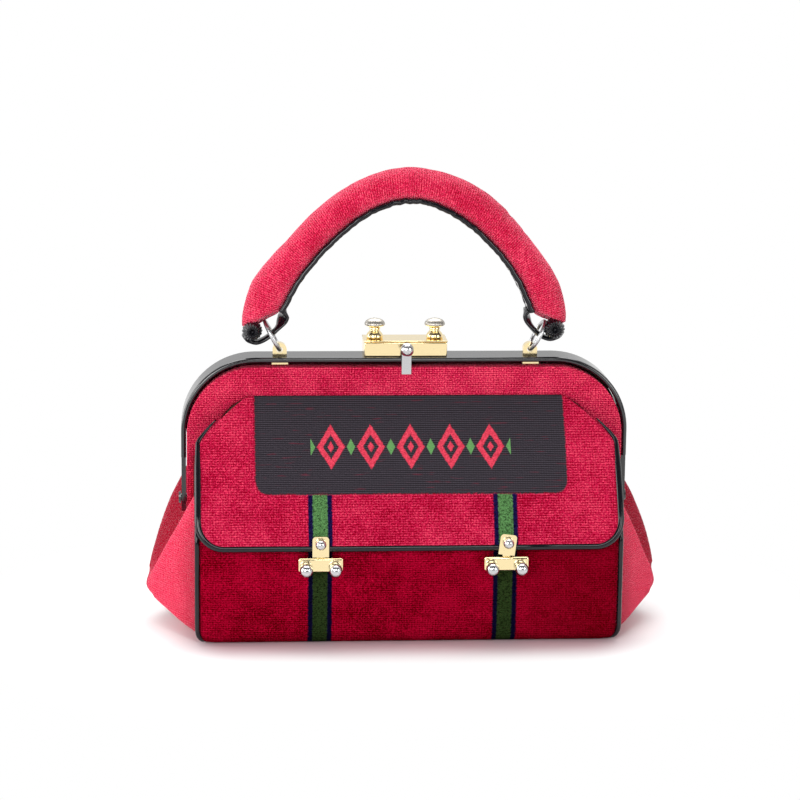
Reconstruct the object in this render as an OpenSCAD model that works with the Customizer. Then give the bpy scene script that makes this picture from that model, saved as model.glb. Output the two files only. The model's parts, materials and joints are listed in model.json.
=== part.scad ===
/* [Frame] */
// Half width of the rear rim, outside
rim_half_w = 130; // [115:1:150]
// Height of the rim's flat top above the floor
rim_top = 158.5; // [150:0.5:175]
// Outside radius of the rim's two upper corners
rim_corner_r = 43; // [38:1:55]
// Thickness of the rim strip
rim_t = 2.6; // [2.4:0.1:3]
// Front edge of the rim, along Y
rim_front = -10; // [-11:0.5:-9]
// Rear edge of the rim, along Y
rim_back = 10; // [9:0.5:14]
// Radius of the rolled bead on the rim's front edge
bead_r = 1.5; // [1.3:0.1:1.6]
// Side clearance between the nested frames
frame_side_gap = 0.5; // [0.4:0.1:1]
// Height of the slit under the rim
frame_top_gap = 2.4; // [2.3:0.1:3.5]
// Thickness of the front frame's strip
front_t = 4; // [3:0.1:5]
// Front face of the front frame, along Y
front_face = -13; // [-14:0.5:-12.5]
// Depth of the front frame's strip
front_depth = 15; // [14:0.5:16]
// Radial width of the front frame's flange
flange_w = 18; // [14:0.5:20]
// Thickness of the flange
flange_t = 3; // [2.5:0.1:3]
// Lower end of the flange on the legs
flange_bottom = 101; // [98:1:106]

/* [Hinge] */
// Height of the frame hinge
hinge_z = 74; // [72:1:78]
// Place of the frame hinge along Y
hinge_y = -2; // [-3:0.5:-1]
// Radius of the ears around the hinge
ear_r = 8; // [6.5:0.1:8]
// Radius of the hinge pins
pin_r = 2.5; // [2:0.1:3]
// Running clearance of the pins in the rear frame
pin_clear = 0.05; // [0.02:0.01:0.1]
// Thickness of the pins' rivet heads
pin_head_t = 1.2; // [0.8:0.1:1.5]

/* [Body] */
// Inset of the body panels from the rim's outer sides
panel_inset = 10; // [9.5:0.1:12]
// Half depth of the body at the base
base_half_d = 58; // [50:1:66]
// Wall thickness of the velvet panels with their lining
wall = 2.5; // [2:0.1:3]
// Radius where the panels turn under the base
base_r = 9; // [7:0.5:12]
// Upper edge of the front pocket panel
pocket_top = 72; // [66:1:76]
// Swell of the lower front panel
pocket_swell = 1.5; // [0:0.1:2]
// Upper edge of the lower rear panel
rear_split = 57; // [54:1:60]
// Overlap of the upper rear wall behind the lower panel
rear_lap = 11; // [8:1:12]
// Height where the rear wall starts to lean in
rear_lean_from = 50; // [46:1:54]
// Height where the rear wall reaches the frame
rear_lean_to = 118; // [110:1:126]
// Height where the front wall reaches the frame
front_lean_to = 100; // [95:1:101]
// Gap between neighbouring soft pieces
soft_gap = 0.5; // [0.3:0.1:0.6]
// Radius of the seam piping
seam_r = 1.5; // [1.2:0.1:1.8]

/* [Gussets] */
// Reach of the gusset fold beyond the panel edge
gusset_reach = 32; // [20:1:36]
// Height of the gusset's outermost point
gusset_tip_z = 19; // [16:1:24]
// Upper edge of the gussets, between the frame legs
gusset_top = 100; // [92:1:100]
// Height where the gusset's ridges run out
ridge_top = 84; // [80:1:86]
// Height where the gusset's valley has folded in
valley_z = 64; // [60:1:66]
// Outward bow of the fold ridges, half way up
gusset_bow = 3.5; // [0:0.5:5]
// Power of the ridges' curve below their tip: less is rounder
tip_round = 0.65; // [0.5:0.05:1]
// Power of the fold's curve from the valley to a ridge: more is sharper
fold_curve = 1.5; // [1:0.1:2]
// Reach of the fold ridges beyond the panel edge, at the top
ridge_reach = 2; // [1:0.5:3]

/* [Flap] */
// Overhang of the flap beyond the sides of the body panels
flap_side_out = 0.6; // [0:0.1:3]
// Lower edge of the flap
flap_bottom = 60; // [58:0.5:61]
// Upper seam of the flap
flap_top = 137; // [134:1:141]
// Thickness of the flap at its lower edge
flap_t = 4.5; // [4:0.1:4.5]
// Thickness of the flap at its seam
flap_seam_t = 1.5; // [1.2:0.1:2]
// Radius of the flap's lower corners
flap_corner_r = 12; // [8:1:20]
// Width of each sloping shoulder
shoulder_w = 28; // [20:1:34]
// Height of each sloping shoulder
shoulder_h = 24; // [18:1:28]
// Fullness of the shoulders, from 1 for straight to 2 for round
shoulder_bow = 1.15; // [1.1:0.05:2]
// Radius of the flap's piping
flap_piping_r = 1.6; // [1.2:0.1:1.8]
// Offset of the woven design and of both catches, to the right
cloth_shift = 1.5; // [0:0.1:3]
// Half width of the flat woven field
field_half_w = 89; // [70:1:92]
// Height of the flat woven field
field_h = 50; // [40:1:56]
// Depth of the flat field below the pile
field_depth = 0.8; // [0.4:0.1:1]
// Corner radius of the flat field
field_r = 7; // [5:1:14]

/* [Handle] */
// Height of the grip's centre line at its crown
handle_crown_z = 258.5; // [235:0.5:280]
// Reach of the grip's centre line beyond each ring's middle, along X
handle_end_out = 8.8; // [7.5:0.1:10]
// Radial half thickness of the grip
grip_r = 9.8; // [9.4:0.1:10.4]
// Half width of the grip, along Y
grip_half_w = 11; // [10:0.1:12.5]
// Thickness of the underside strip
strip_t = 1.6; // [1.2:0.1:2]
// Overhang of the strip beyond the grip's flat, on each side
strip_lip = 2; // [1:0.1:3]
// Radius of the grip's piping
grip_piping_r = 1.5; // [1.2:0.1:1.7]
// Middle of the handle, along Y
handle_y = -2; // [-3:0.5:2]
// Thickness of the leather loop that the ring passes through
loop_t = 2.2; // [1.6:0.1:2.6]
// Width of the leather loop inside the ring
loop_w = 11; // [8:0.5:11.5]
// Slope of the grip's cut ends
end_slope = 0.44; // [0.3:0.02:0.5]

/* [Rings and lugs] */
// Distance of each lug from the rim's outer side
lug_inset = 57; // [56:0.5:62]
// Radius of the lug's domed head
lug_r = 4.1; // [3.8:0.1:4.5]
// Depth of the lug along Y
lug_d = 5; // [4:0.1:5]
// Height of the lug's hole above the rim
lug_hole_h = 3.6; // [3.4:0.1:3.8]
// Radius of the lug's hole
lug_hole_r = 1.8; // [1.7:0.05:2]
// Mean radius of the ring
ring_r = 9; // [8.5:0.1:9.5]
// Radius of the ring's wire
wire_r = 1.2; // [1:0.05:1.3]
// Outward lean of the ring, in degrees
ring_lean = 28; // [24:1:31]
// Half width of the backing plates under the rim
backplate_half_w = 4.7; // [4:0.1:6]
// Thickness of the backing plates
backplate_t = 2; // [1:0.1:2.2]
// Depth of the backing plates, along Y
backplate_d = 12; // [8:0.5:16]
// Distance of the backing plates from the rim's front edge
backplate_set = 2; // [2:0.1:3]

/* [Top clasp] */
// Half width of the clasp box
clasp_half_w = 24.1; // [23:0.1:28]
// Height of the clasp box
clasp_h = 8.5; // [8:0.1:9.5]
// Front of the clasp box, along Y
clasp_front = -8; // [-8.5:0.1:-7]
// Rear of the clasp box, along Y
clasp_back = 12; // [11:0.1:13]
// Sheet thickness of the clasp
clasp_sheet = 0.9; // [0.7:0.1:1]
// Lip of the lid beyond the box
lid_lip = 0.3; // [0:0.1:0.6]
// Middle of the clasp's bolts and knobs, along Y
clasp_y = 2; // [1:0.5:3]
// Place of the clasp knobs along X
knob_x = 17.5; // [16:0.1:18]
// Travel of each clasp knob
knob_travel = 2.5; // [1.5:0.1:2.5]
// Radius of the knob's stem
knob_stem_r = 1.5; // [1.2:0.1:1.8]
// Radius of the knob's foot
knob_foot_r = 5; // [4:0.1:5.6]
// Radius of the knob's waist
knob_waist_r = 2.6; // [2:0.1:3]
// Radius of the knob's flared top
knob_top_r = 6; // [5:0.1:7]
// Height of the knob
knob_h = 11.5; // [10:0.5:14]
// Half width of the hasp's tongue
tongue_half_w = 2.5; // [2:0.1:3]
// Thickness of the hasp's strip
hasp_t = 1.4; // [1:0.1:1.6]
// Lower end of the hasp's strip
hasp_bottom = 149.5; // [146:0.5:152]
// Radius of the hasp's ball
hasp_ball_r = 4; // [3:0.1:4.5]
// Clearance of sliding parts
slide_gap = 0.3; // [0.2:0.05:0.4]

/* [Flap catches] */
// Place of each flap catch along X
catch_x = 53; // [45:1:70]
// Half width of the catch box
catch_half_w = 12.85; // [12.5:0.05:14]
// Height of the catch box
catch_h = 8; // [7:0.1:9]
// Depth of the catch box
catch_d = 7; // [6.5:0.1:8]
// Upper side of the catch box
catch_top = 53.5; // [52:0.5:55]
// Sheet thickness of the catch box
catch_sheet = 0.8; // [0.6:0.1:1]
// Place of each ball from the middle of its catch
ball_x = 8.3; // [8:0.1:8.6]
// Radius of each ball
ball_r = 3.8; // [3:0.1:4.2]
// Radius of each ball's stem
ball_stem_r = 1.1; // [0.8:0.05:1.3]
// Travel of each ball
ball_travel = 2.2; // [1.4:0.1:2.2]
// Half width of the hasp plate on the flap
plate_half_w = 4.7; // [4:0.1:6]
// Height of the hasp plate above the catch box
plate_h = 12; // [11:0.1:14]
// Thickness of the hasp plate
plate_t = 1.2; // [1:0.1:1.4]
// Tilt of the right hasp plate, in degrees
plate_tilt = 7; // [0:1:8]
// Radius of the ball rivet on the plate
rivet_r = 3.1; // [2.5:0.1:3.5]

/* [Hidden] */

velvet = "crimson";
dark_velvet = "darkred";
patent = "#17161a";
gold = "#d9b85c";
silver = "#c9cacc";
lining = "#5a2c22";
$fn = 48;
eps = 0.01;

// Gaps between a piece and the piece it is fixed on
seat_gap = 0.2;
seam_gap = 0.05;
pin_seat = 0.02;

// Frame sizes that follow from the driving ones
front_half_w = rim_half_w - rim_t - frame_side_gap;
front_top = rim_top - rim_t - frame_top_gap;
front_corner_r = rim_corner_r - rim_t - frame_side_gap;
front_back = front_face + front_depth;
leg_end = hinge_z - ear_r;
leg_full_z = hinge_z + 26;

// Body and flap sizes that follow from the frame's
panel_half_w = rim_half_w - panel_inset;
flap_half_w = panel_half_w + flap_side_out;
flap_bottom_y = -base_half_d - soft_gap - flap_t;

// Clasp, ring and handle places
lug_x = rim_half_w - lug_inset;
clasp_z = rim_top;
lid_z = clasp_z + clasp_h;
lid_top = lid_z + clasp_sheet;
bolt_z = clasp_z + 4.8;
bolt_t = 2.2;
tongue_z = clasp_z + 4.4;
tongue_t = 1.5;
hasp_y = front_face - seat_gap - hasp_t;
ring_mid = [lug_x + ring_r * sin(ring_lean), rim_top + lug_hole_h + ring_r * cos(ring_lean)];
ring_crown = ring_mid + ring_r * [sin(ring_lean), cos(ring_lean)];
handle_end_x = ring_mid[0] + handle_end_out;
handle_end_z = ring_mid[1] + 0.45;
handle_end_dir = [sin(10), -cos(10)];
grip_end_t = 0.86;

// Flap catch places
catch_bottom = catch_top - catch_h;
catch_back = -base_half_d - pocket_swell + seat_gap;
catch_front = catch_back - catch_d;
plate_y = flap_bottom_y - 2 * seat_gap;
flap_tongue_half_w = 2.2;
ball_z = catch_bottom + 2;

// Smooth step from 0 to 1
function ease(t) = let(s = min(1, max(0, t))) s * s * (3 - 2 * s);

// Points of an arc about c, from angle a to angle b, in n steps
function arc(c, r, a, b, n) = [for (i = [0:n]) c + r * [cos(a + (b - a) * i / n), sin(a + (b - a) * i / n)]];

// Cubic curve through four control points
function cubic(p, t) =
  pow(1 - t, 3) * p[0] + 3 * pow(1 - t, 2) * t * p[1] + 3 * (1 - t) * t * t * p[2] + pow(t, 3) * p[3];

function reversed(list) = [for (i = [len(list) - 1:-1:0]) list[i]];
function unit(v) = v / norm(v);
function steps(a, b, n) = [for (i = [0:n]) a + (b - a) * i / n];

// Front face of the flap at height z, and its thickness there
flap_top_y = front_face - seat_gap - flap_seam_t;
function flap_s(z) = max(0, (z - flap_bottom) / (flap_top - flap_bottom));
function flap_y(z) = flap_bottom_y + (flap_top_y - flap_bottom_y) * pow(flap_s(z), 1.3);
function flap_back_y(z) = flap_y(z) + flap_t + (flap_seam_t - flap_t) * flap_s(z);

// Outside of the lower front panel: swollen below the flap, close behind it above
function pocket_y(z) = z >= flap_bottom
  ? flap_back_y(z) + soft_gap
  : flap_back_y(flap_bottom) + soft_gap - pocket_swell * sin(180 * (flap_bottom - z) / (flap_bottom - base_r));

// Outside of the rear wall at height z
function rear_y(z) =
  base_half_d - (base_half_d - rim_back) * ease((z - rear_lean_from) / (rear_lean_to - rear_lean_from));

// Edges of the gussets at height z, inside the panels' rounded base
gusset_d = base_half_d - wall - soft_gap;
gusset_bottom = wall + soft_gap;
function base_inset(z) = z < base_r
  ? base_r - wall - soft_gap - sqrt(max(0, pow(base_r - wall - soft_gap, 2) - pow(base_r - z, 2)))
  : 0;
function gusset_front_y(z) =
  -gusset_d + base_inset(z) + (gusset_d + front_face) * ease((z - flap_bottom) / (front_lean_to - flap_bottom));
rear_inset = wall + soft_gap + seat_gap;
function gusset_rear_y(z) = min(gusset_d - base_inset(z), rear_y(z) - soft_gap)
  - (rear_inset + wall) * ease((z - rear_split - 12) / 16);
function front_wall_y(z) = gusset_front_y(max(z, base_r)) + wall + 2 * soft_gap;

// Smooth curve through a list of points, in n steps between each pair
function through(p, n) = let(m = len(p) - 1) concat(
  [for (i = [0:m - 1]) for (k = [0:n - 1])
    let(t = k / n, a = p[max(i - 1, 0)], b = p[i], c = p[i + 1], d = p[min(i + 2, m)])
    b + 0.5 * t * (c - a + t * (2 * a - 5 * b + 4 * c - d + t * (3 * b - 3 * c + d - a)))],
  [p[m]]);

// A YZ outline pulled along X, and an XZ outline pulled along Y
module along_x(half_w) {
  rotate([90, 0, 90])
    linear_extrude(2 * half_w, center = true)
      children();
}
module along_y(from, to) {
  translate([0, to, 0])
    rotate([90, 0, 0])
      linear_extrude(to - from)
        children();
}

// Flat arch with round upper corners
module arch(half_w, top, r, bottom) {
  intersection() {
    union() {
      translate([-half_w, bottom]) square([2 * half_w, top - r - bottom]);
      translate([r - half_w, bottom]) square([2 * (half_w - r), top - bottom]);
      for (side = [-1, 1])
        translate([side * (half_w - r), top - r]) circle(r, $fn = 96);
    }
    translate([-half_w, bottom]) square([2 * half_w, top - bottom]);
  }
}
module arch_band(half_w, top, r, bottom, t) {
  difference() {
    arch(half_w, top, r, bottom);
    arch(half_w - t, top - t, max(1, r - t), bottom - 1);
  }
}

// Round bar bent to the arch
module arch_bar(half_w, top, r, bottom, bar_r) {
  for (side = [-1, 1]) {
    translate([side * half_w, 0, bottom]) cylinder(r = bar_r, h = top - r - bottom);
    translate([side * (half_w - r), 0, top - r])
      rotate([90, side > 0 ? 0 : -90, 0])
        rotate_extrude(angle = 90, $fn = 96)
          translate([r, 0]) circle(bar_r);
  }
  translate([r - half_w, 0, top])
    rotate([0, 90, 0])
      cylinder(r = bar_r, h = 2 * (half_w - r));
}

// Solid skinned over rings of points; a thin ring can have strip caps across its wall
module skin(rings, thin = false) {
  n = len(rings[0]);
  last = len(rings) - 1;
  points = [for (ring = rings) for (p = ring) p];
  sides = [for (i = [0:last - 1]) for (j = [0:n - 1]) let(k = (j + 1) % n)
    for (f = [[i * n + j, i * n + k, (i + 1) * n + k], [i * n + j, (i + 1) * n + k, (i + 1) * n + j]]) f];
  whole_cap = [[for (j = [0:n - 1]) j]];
  strip_cap = [for (j = [0:n / 2 - 2]) for (f = [[j, j + 1, n - 2 - j], [j, n - 2 - j, n - 1 - j]]) f];
  cap = thin ? strip_cap : whole_cap;
  first_cap = [for (f = cap) reversed(f)];
  last_cap = [for (f = cap) [for (j = f) last * n + j]];
  polyhedron(points, concat(sides, first_cap, last_cap), convexity = 6);
}

// Tube along a path, with a radius for each point and a fixed sideways direction
function path_dir(path, i) = unit(path[min(i + 1, len(path) - 1)] - path[max(i - 1, 0)]);
function tube_ring(path, i, r, aside, n) =
  let(d = path_dir(path, i), b = unit(cross(d, aside)), a = cross(b, d))
  [for (k = [0:n - 1]) path[i] + r * (cos(360 * k / n) * a - sin(360 * k / n) * b)];
module tube(path, radii, aside, n = 8) {
  skin([for (i = [0:len(path) - 1]) tube_ring(path, i, radii[i], aside, n)]);
}

// The body: one velvet sheet for pocket front, base and lower back
function panel_loop(inset) = concat(
  [for (z = steps(pocket_top, base_r, 12)) [pocket_y(z) + inset, z]],
  arc([base_r + pocket_y(base_r), base_r], base_r - inset, 180, 270, 6),
  arc([base_half_d - base_r, base_r], base_r - inset, 270, 360, 6),
  [for (z = steps(base_r, rear_split, 5)) if (z > base_r) [rear_y(z) - inset, z]]);

module body_panel() {
  color(dark_velvet)
    along_x(panel_half_w)
      polygon(concat(panel_loop(0), reversed(panel_loop(wall))));
}

inner_half_w = panel_half_w - wall - 2 * soft_gap;

module front_wall() {
  top = front_top - front_t - soft_gap;
  heights = steps(gusset_bottom + soft_gap, top + 1, 24);
  color(lining)
    intersection() {
      along_x(front_half_w)
        polygon(concat(
          [for (z = heights) [front_wall_y(z), z]],
          [for (z = reversed(heights)) [front_wall_y(z) + wall, z]]));
      along_y(-base_half_d, base_half_d) {
        arch(front_half_w - front_t - soft_gap, top, front_corner_r - front_t - soft_gap, flange_bottom);
        translate([-inner_half_w, 0]) square([2 * inner_half_w, flange_bottom + eps]);
      }
    }
}

module rear_wall() {
  top = rim_top - rim_t - soft_gap;
  wide_from = rear_lean_to - 6;
  heights = steps(rear_split - rear_lap, top + 1, 24);
  color(velvet)
    intersection() {
      along_x(rim_half_w)
        polygon(concat(
          [for (z = heights) [rear_y(z) - rear_inset, z]],
          [for (z = reversed(heights)) [rear_y(z) - rear_inset - wall, z]]));
      along_y(-base_half_d, base_half_d) {
        arch(rim_half_w - rim_t - soft_gap, top, rim_corner_r - rim_t - soft_gap, wide_from);
        translate([-inner_half_w, 0]) square([2 * inner_half_w, wide_from + 1]);
      }
    }
}

// Folded gussets: a ridge runs from each frame leg down to one outermost point,
// with a valley between the ridges and a sloping underside below the point
ridge_low = 0.05;
valley_lean = 0.04;
function ridge_share(z) = z >= gusset_tip_z
  ? max(ridge_low, 0.9 * min(1, (z - gusset_tip_z) / (ridge_top - gusset_tip_z)))
  : min(0.94, max(ridge_low, (gusset_tip_z - z) / (gusset_tip_z - gusset_bottom)));
function ridge_x(z) =
  z > ridge_top ? ridge_reach - (ridge_reach + 1) * (z - ridge_top) / (gusset_top - ridge_top)
  : z >= gusset_tip_z ? let(rise = (z - gusset_tip_z) / (ridge_top - gusset_tip_z))
    gusset_reach + (ridge_reach - gusset_reach) * rise + gusset_bow * sin(180 * rise)
  : gusset_reach * pow((z - gusset_bottom) / (gusset_tip_z - gusset_bottom), tip_round);
function valley_x(z) = z >= gusset_tip_z
  ? max(-1 - valley_lean * (z - valley_z),
    gusset_reach - (gusset_reach + 1) * (z - gusset_tip_z) / (valley_z - gusset_tip_z))
  : ridge_x(z);
function fold_x(z, u) = let(r = ridge_share(z), a = abs(u))
  a >= r ? ridge_x(z) * (1 - a) / (1 - r) : valley_x(z) + (ridge_x(z) - valley_x(z)) * pow(a / r, fold_curve);
function fold_shares(z) = let(r = ridge_share(z))
  [-1, -(1 + r) / 2, -r, -r / 2, 0, r / 2, r, (1 + r) / 2, 1];
function fold_y(z, u) = u < 0 ? -u * gusset_front_y(z) : u * gusset_rear_y(z);
function fold_row(z, depth) =
  [for (u = fold_shares(z)) [panel_half_w + fold_x(z, u) - depth, fold_y(z, u), z]];

module gusset() {
  heights = concat(
    steps(gusset_bottom, gusset_tip_z, 4),
    [for (z = steps(gusset_tip_z, ridge_top, 6)) if (z > gusset_tip_z) z],
    [(ridge_top + gusset_top) / 2, gusset_top]);
  color(velvet)
    skin([for (z = heights) concat(fold_row(z, 0), reversed(fold_row(z, wall)))], true);
}
module gusset_right() { gusset(); }
module gusset_left() { mirror([1, 0, 0]) gusset(); }

// Piping round each side seam: down the front, under the base and up the back
module seam_piping() {
  out = seam_r + 2 * seam_gap;
  x = panel_half_w + out;
  mid_r = base_r - wall / 2;
  low_z = seam_r + seat_gap;
  front_d = gusset_d + out;
  corner = front_d - mid_r;
  path = concat(
    [for (z = steps(ridge_top, base_r + 4, 9)) [x, gusset_front_y(z) - out, z]],
    [for (p = arc([-corner, low_z + mid_r], mid_r, 180, 270, 5)) [x, p[0], p[1]]],
    [for (p = arc([corner, low_z + mid_r], mid_r, 270, 360, 5)) [x, p[0], p[1]]],
    [[x, front_d, 30], [x, front_d, rear_split - 8]]);
  color(patent) tube(path, [for (p = path) seam_r], [1, 0, 0]);
}
module seam_piping_right() { seam_piping(); }
module seam_piping_left() { mirror([1, 0, 0]) seam_piping(); }

// Flap: a hanging sheet cut to an outline with sloping shoulders
shoulder = [for (a = steps(0, 90, 9))
  [shoulder_w - flap_half_w - shoulder_w * pow(cos(a), 2 / shoulder_bow),
    flap_top - shoulder_h + shoulder_h * pow(sin(a), 2 / shoulder_bow)]];
function flap_side(out) = concat(
  arc([flap_corner_r - flap_half_w, flap_bottom + flap_corner_r], flap_corner_r + out, 270, 180, 6),
  [for (i = [0:len(shoulder) - 1]) let(d = path_dir(shoulder, i)) shoulder[i] + out * [-d[1], d[0]]]);
function mirrored(points) = [for (p = reversed(points)) [-p[0], p[1]]];

module flap_sheet(from, to) {
  heights = steps(flap_bottom - 1, flap_top + 1, 16);
  along_x(flap_half_w + 1)
    polygon(concat(
      [for (z = heights) [flap_y(z) + from, z]],
      [for (z = reversed(heights)) [(to == undef ? flap_back_y(z) : flap_y(z) + to), z]]));
}
module flap() {
  color(velvet)
    difference() {
      intersection() {
        flap_sheet(0);
        along_y(-base_half_d - 20, 0) polygon(concat(flap_side(0), mirrored(flap_side(0))));
      }
      intersection() {
        flap_sheet(-2, field_depth);
        along_y(-base_half_d - 20, 0)
          mirror([0, 1]) translate([cloth_shift, -flap_top]) arch(field_half_w, field_h, field_r, -2);
      }
    }
}
module flap_piping() {
  out = flap_piping_r + seam_gap;
  half = [for (p = reversed(flap_side(out))) if (p[1] < flap_top - shoulder_h / 2) p];
  outline = concat(half, [[0, flap_bottom - out]], mirrored(half));
  path = [for (p = outline) [p[0], (flap_y(p[1]) + flap_back_y(p[1])) / 2, p[1]]];
  n = len(path) - 1;
  color(patent)
    tube(path, [for (i = [0:n]) flap_piping_r * min(1, 0.3 + 0.18 * min(i, n - i))], [0, 1, 0]);
}

// The two nested frames and their pivots
module front_frame() {
  color(velvet)
    difference() {
      union() {
        intersection() {
          along_y(front_face, front_back + ear_r)
            arch_band(front_half_w, front_top, front_corner_r, leg_end, front_t);
          along_x(front_half_w + 1) {
            translate([front_face, leg_full_z]) square([front_depth, front_top]);
            polygon([[front_face, leg_full_z + eps], [front_back, leg_full_z + eps],
              [hinge_y + ear_r, hinge_z], [hinge_y - ear_r, hinge_z]]);
            translate([hinge_y, hinge_z]) circle(ear_r);
          }
        }
        along_y(front_face, front_face + flange_t)
          arch_band(front_half_w, front_top, front_corner_r, flange_bottom, flange_w);
      }
      hinge_bore(pin_r + pin_seat);
    }
}
module hinge_bore(r) {
  translate([0, hinge_y, hinge_z])
    rotate([0, 90, 0])
      cylinder(r = r, h = 2 * rim_half_w + 10, center = true);
}
module rear_frame() {
  color(patent)
    difference() {
      union() {
        intersection() {
          along_y(rim_front, rim_back)
            arch_band(rim_half_w, rim_top, rim_corner_r, leg_end, rim_t);
          along_x(rim_half_w + 1) {
            translate([rim_front, leg_full_z]) square([rim_back - rim_front, rim_top]);
            polygon([[rim_front, leg_full_z + eps], [rim_back, leg_full_z + eps],
              [hinge_y + ear_r, hinge_z], [hinge_y - ear_r, hinge_z]]);
            translate([hinge_y, hinge_z]) circle(ear_r);
          }
        }
        translate([0, rim_front, 0])
          arch_bar(rim_half_w - rim_t / 2, rim_top - rim_t / 2, rim_corner_r - rim_t / 2, leg_full_z, bead_r);
      }
      hinge_bore(pin_r + pin_clear);
    }
}
module hinge_pins() {
  inner = front_half_w - front_t - soft_gap;
  outer = rim_half_w + soft_gap;
  head_r = pin_r + 1.3;
  color(gold)
    for (side = [0, 1])
      mirror([side, 0, 0])
        translate([0, hinge_y, hinge_z])
          rotate([0, 90, 0]) {
            translate([0, 0, inner]) cylinder(r = pin_r, h = outer - inner);
            translate([0, 0, inner - pin_head_t]) cylinder(r = head_r, h = pin_head_t);
            translate([0, 0, outer]) cylinder(r1 = head_r, r2 = head_r - 0.8, h = pin_head_t);
          }
}

// Hasp on the front frame, with its tongue in the clasp box
module top_hasp() {
  color(silver) {
    translate([-tongue_half_w - 0.25, hasp_y, hasp_bottom])
      cube([2 * tongue_half_w + 0.5, hasp_t, tongue_z + tongue_t - hasp_bottom]);
    translate([-tongue_half_w, hasp_y, tongue_z])
      cube([2 * tongue_half_w, clasp_y - hasp_y + 1, tongue_t]);
  }
}
// Ball turned with a flat back at the origin, facing -Y
module flat_ball(r) {
  set = 0.65 * r;
  open_a = acos(set / r);
  rotate([90, 0, 0])
    rotate_extrude()
      polygon(concat([[0, 0]], arc([0, set], r, open_a - 90, 90, 12)));
}
module top_hasp_ball() {
  color(silver)
    translate([0, hasp_y, tongue_z + tongue_t]) flat_ball(hasp_ball_r);
}

// Top clasp: box, lid, bolts, knobs and the spring that closes the bolts
module clasp_box() {
  d = clasp_back - clasp_front;
  notch_w = 2 * (tongue_half_w + 2.2);
  color(gold)
    difference() {
      translate([-clasp_half_w, clasp_front, clasp_z]) cube([2 * clasp_half_w, d, clasp_h]);
      translate([clasp_sheet - clasp_half_w, clasp_front + clasp_sheet, clasp_z + clasp_sheet])
        cube([2 * (clasp_half_w - clasp_sheet), d - 2 * clasp_sheet, clasp_h]);
      translate([-notch_w / 2, clasp_front - 1, clasp_z + clasp_sheet]) cube([notch_w, 3, clasp_h]);
    }
}
module slot(x0, x1, half_h, depth) {
  translate([x0, -half_h, 0]) cube([x1 - x0, 2 * half_h, depth]);
  for (x = [x0, x1])
    translate([x, 0, 0]) cylinder(r = half_h, h = depth);
}
module clasp_lid() {
  half = clasp_half_w + lid_lip;
  color(gold)
    difference() {
      translate([-half, clasp_front - lid_lip, lid_z])
        cube([2 * half, clasp_back - clasp_front + 2 * lid_lip, clasp_sheet]);
      for (side = [0, 1])
        mirror([side, 0, 0])
          translate([0, clasp_y, lid_z - 1])
            slot(knob_x, knob_x + knob_travel, knob_stem_r + slide_gap, clasp_sheet + 2);
    }
}
module clasp_bolt() {
  tip = tongue_half_w + slide_gap;
  end = clasp_half_w - clasp_sheet - knob_travel - slide_gap;
  color(silver)
    translate([tip, clasp_y - 4, bolt_z])
      cube([end - tip, 8, bolt_t]);
}
module clasp_bolt_right() { clasp_bolt(); }
module clasp_bolt_left() { mirror([1, 0, 0]) clasp_bolt(); }

module clasp_knob() {
  foot = lid_top + slide_gap - bolt_z - bolt_t;
  color(gold)
    translate([knob_x, clasp_y, bolt_z + bolt_t])
      rotate_extrude()
        polygon(concat(
          [[0, 0], [knob_stem_r, 0], [knob_stem_r, foot], [knob_foot_r - 0.6, foot], [knob_foot_r, foot + 0.6]],
          [for (a = steps(0, 90, 6)) [knob_waist_r + (knob_foot_r - knob_waist_r) * (1 - sin(a)),
            foot + 1.2 + (0.34 * knob_h) * (1 - cos(a))]],
          [for (a = steps(0, 90, 6)) [knob_waist_r + (knob_top_r - knob_waist_r) * (1 - cos(a)),
            foot + 0.5 * knob_h + 0.3 * knob_h * sin(a)]],
          [[knob_top_r, foot + 0.9 * knob_h], [knob_top_r - 0.8, foot + knob_h], [0, foot + knob_h]]));
}
module clasp_knob_right() { clasp_knob(); }
module clasp_knob_left() { mirror([1, 0, 0]) clasp_knob(); }

// Bowed leaf of the given half length and rise
module leaf(half, rise, t, h) {
  r = (half * half + rise * rise) / (2 * rise);
  sweep_a = asin(half / r);
  linear_extrude(h)
    polygon(concat(
      arc([0, -r], r, 90 - sweep_a, 90 + sweep_a, 10),
      arc([0, -r], r - t, 90 + sweep_a, 90 - sweep_a, 10)));
}
module clasp_spring() {
  color(silver)
    translate([0, clasp_back - clasp_sheet - slide_gap, clasp_z + clasp_sheet])
      leaf(clasp_half_w - clasp_sheet - 3, 2.6, 0.5, clasp_h - clasp_sheet - slide_gap);
}

// Lugs, their backing plates and the rings
module lug() {
  color(gold)
    along_y(handle_y - lug_d / 2, handle_y + lug_d / 2)
      difference() {
        union() {
          translate([lug_x, rim_top + lug_hole_h]) circle(lug_r);
          translate([lug_x - lug_r, rim_top]) square([2 * lug_r, lug_hole_h]);
        }
        translate([lug_x, rim_top + lug_hole_h]) circle(lug_hole_r);
        translate([lug_x - 2 * lug_r, rim_top - lug_r]) square([4 * lug_r, lug_r]);
      }
}
module lug_right() { lug(); }
module lug_left() { mirror([1, 0, 0]) lug(); }

module lug_backplates() {
  color(gold)
    for (side = [-1, 1])
      translate([side * lug_x - backplate_half_w, rim_front + backplate_set, rim_top - rim_t - backplate_t])
        cube([2 * backplate_half_w, backplate_d, backplate_t]);
}
module ring() {
  color(silver)
    translate([ring_mid[0], handle_y, ring_mid[1]])
      rotate([0, 90 + ring_lean, 0])
        rotate_extrude($fn = 96)
          translate([ring_r, 0]) circle(wire_r);
}
module ring_right() { ring(); }
module ring_left() { mirror([1, 0, 0]) ring(); }

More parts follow.
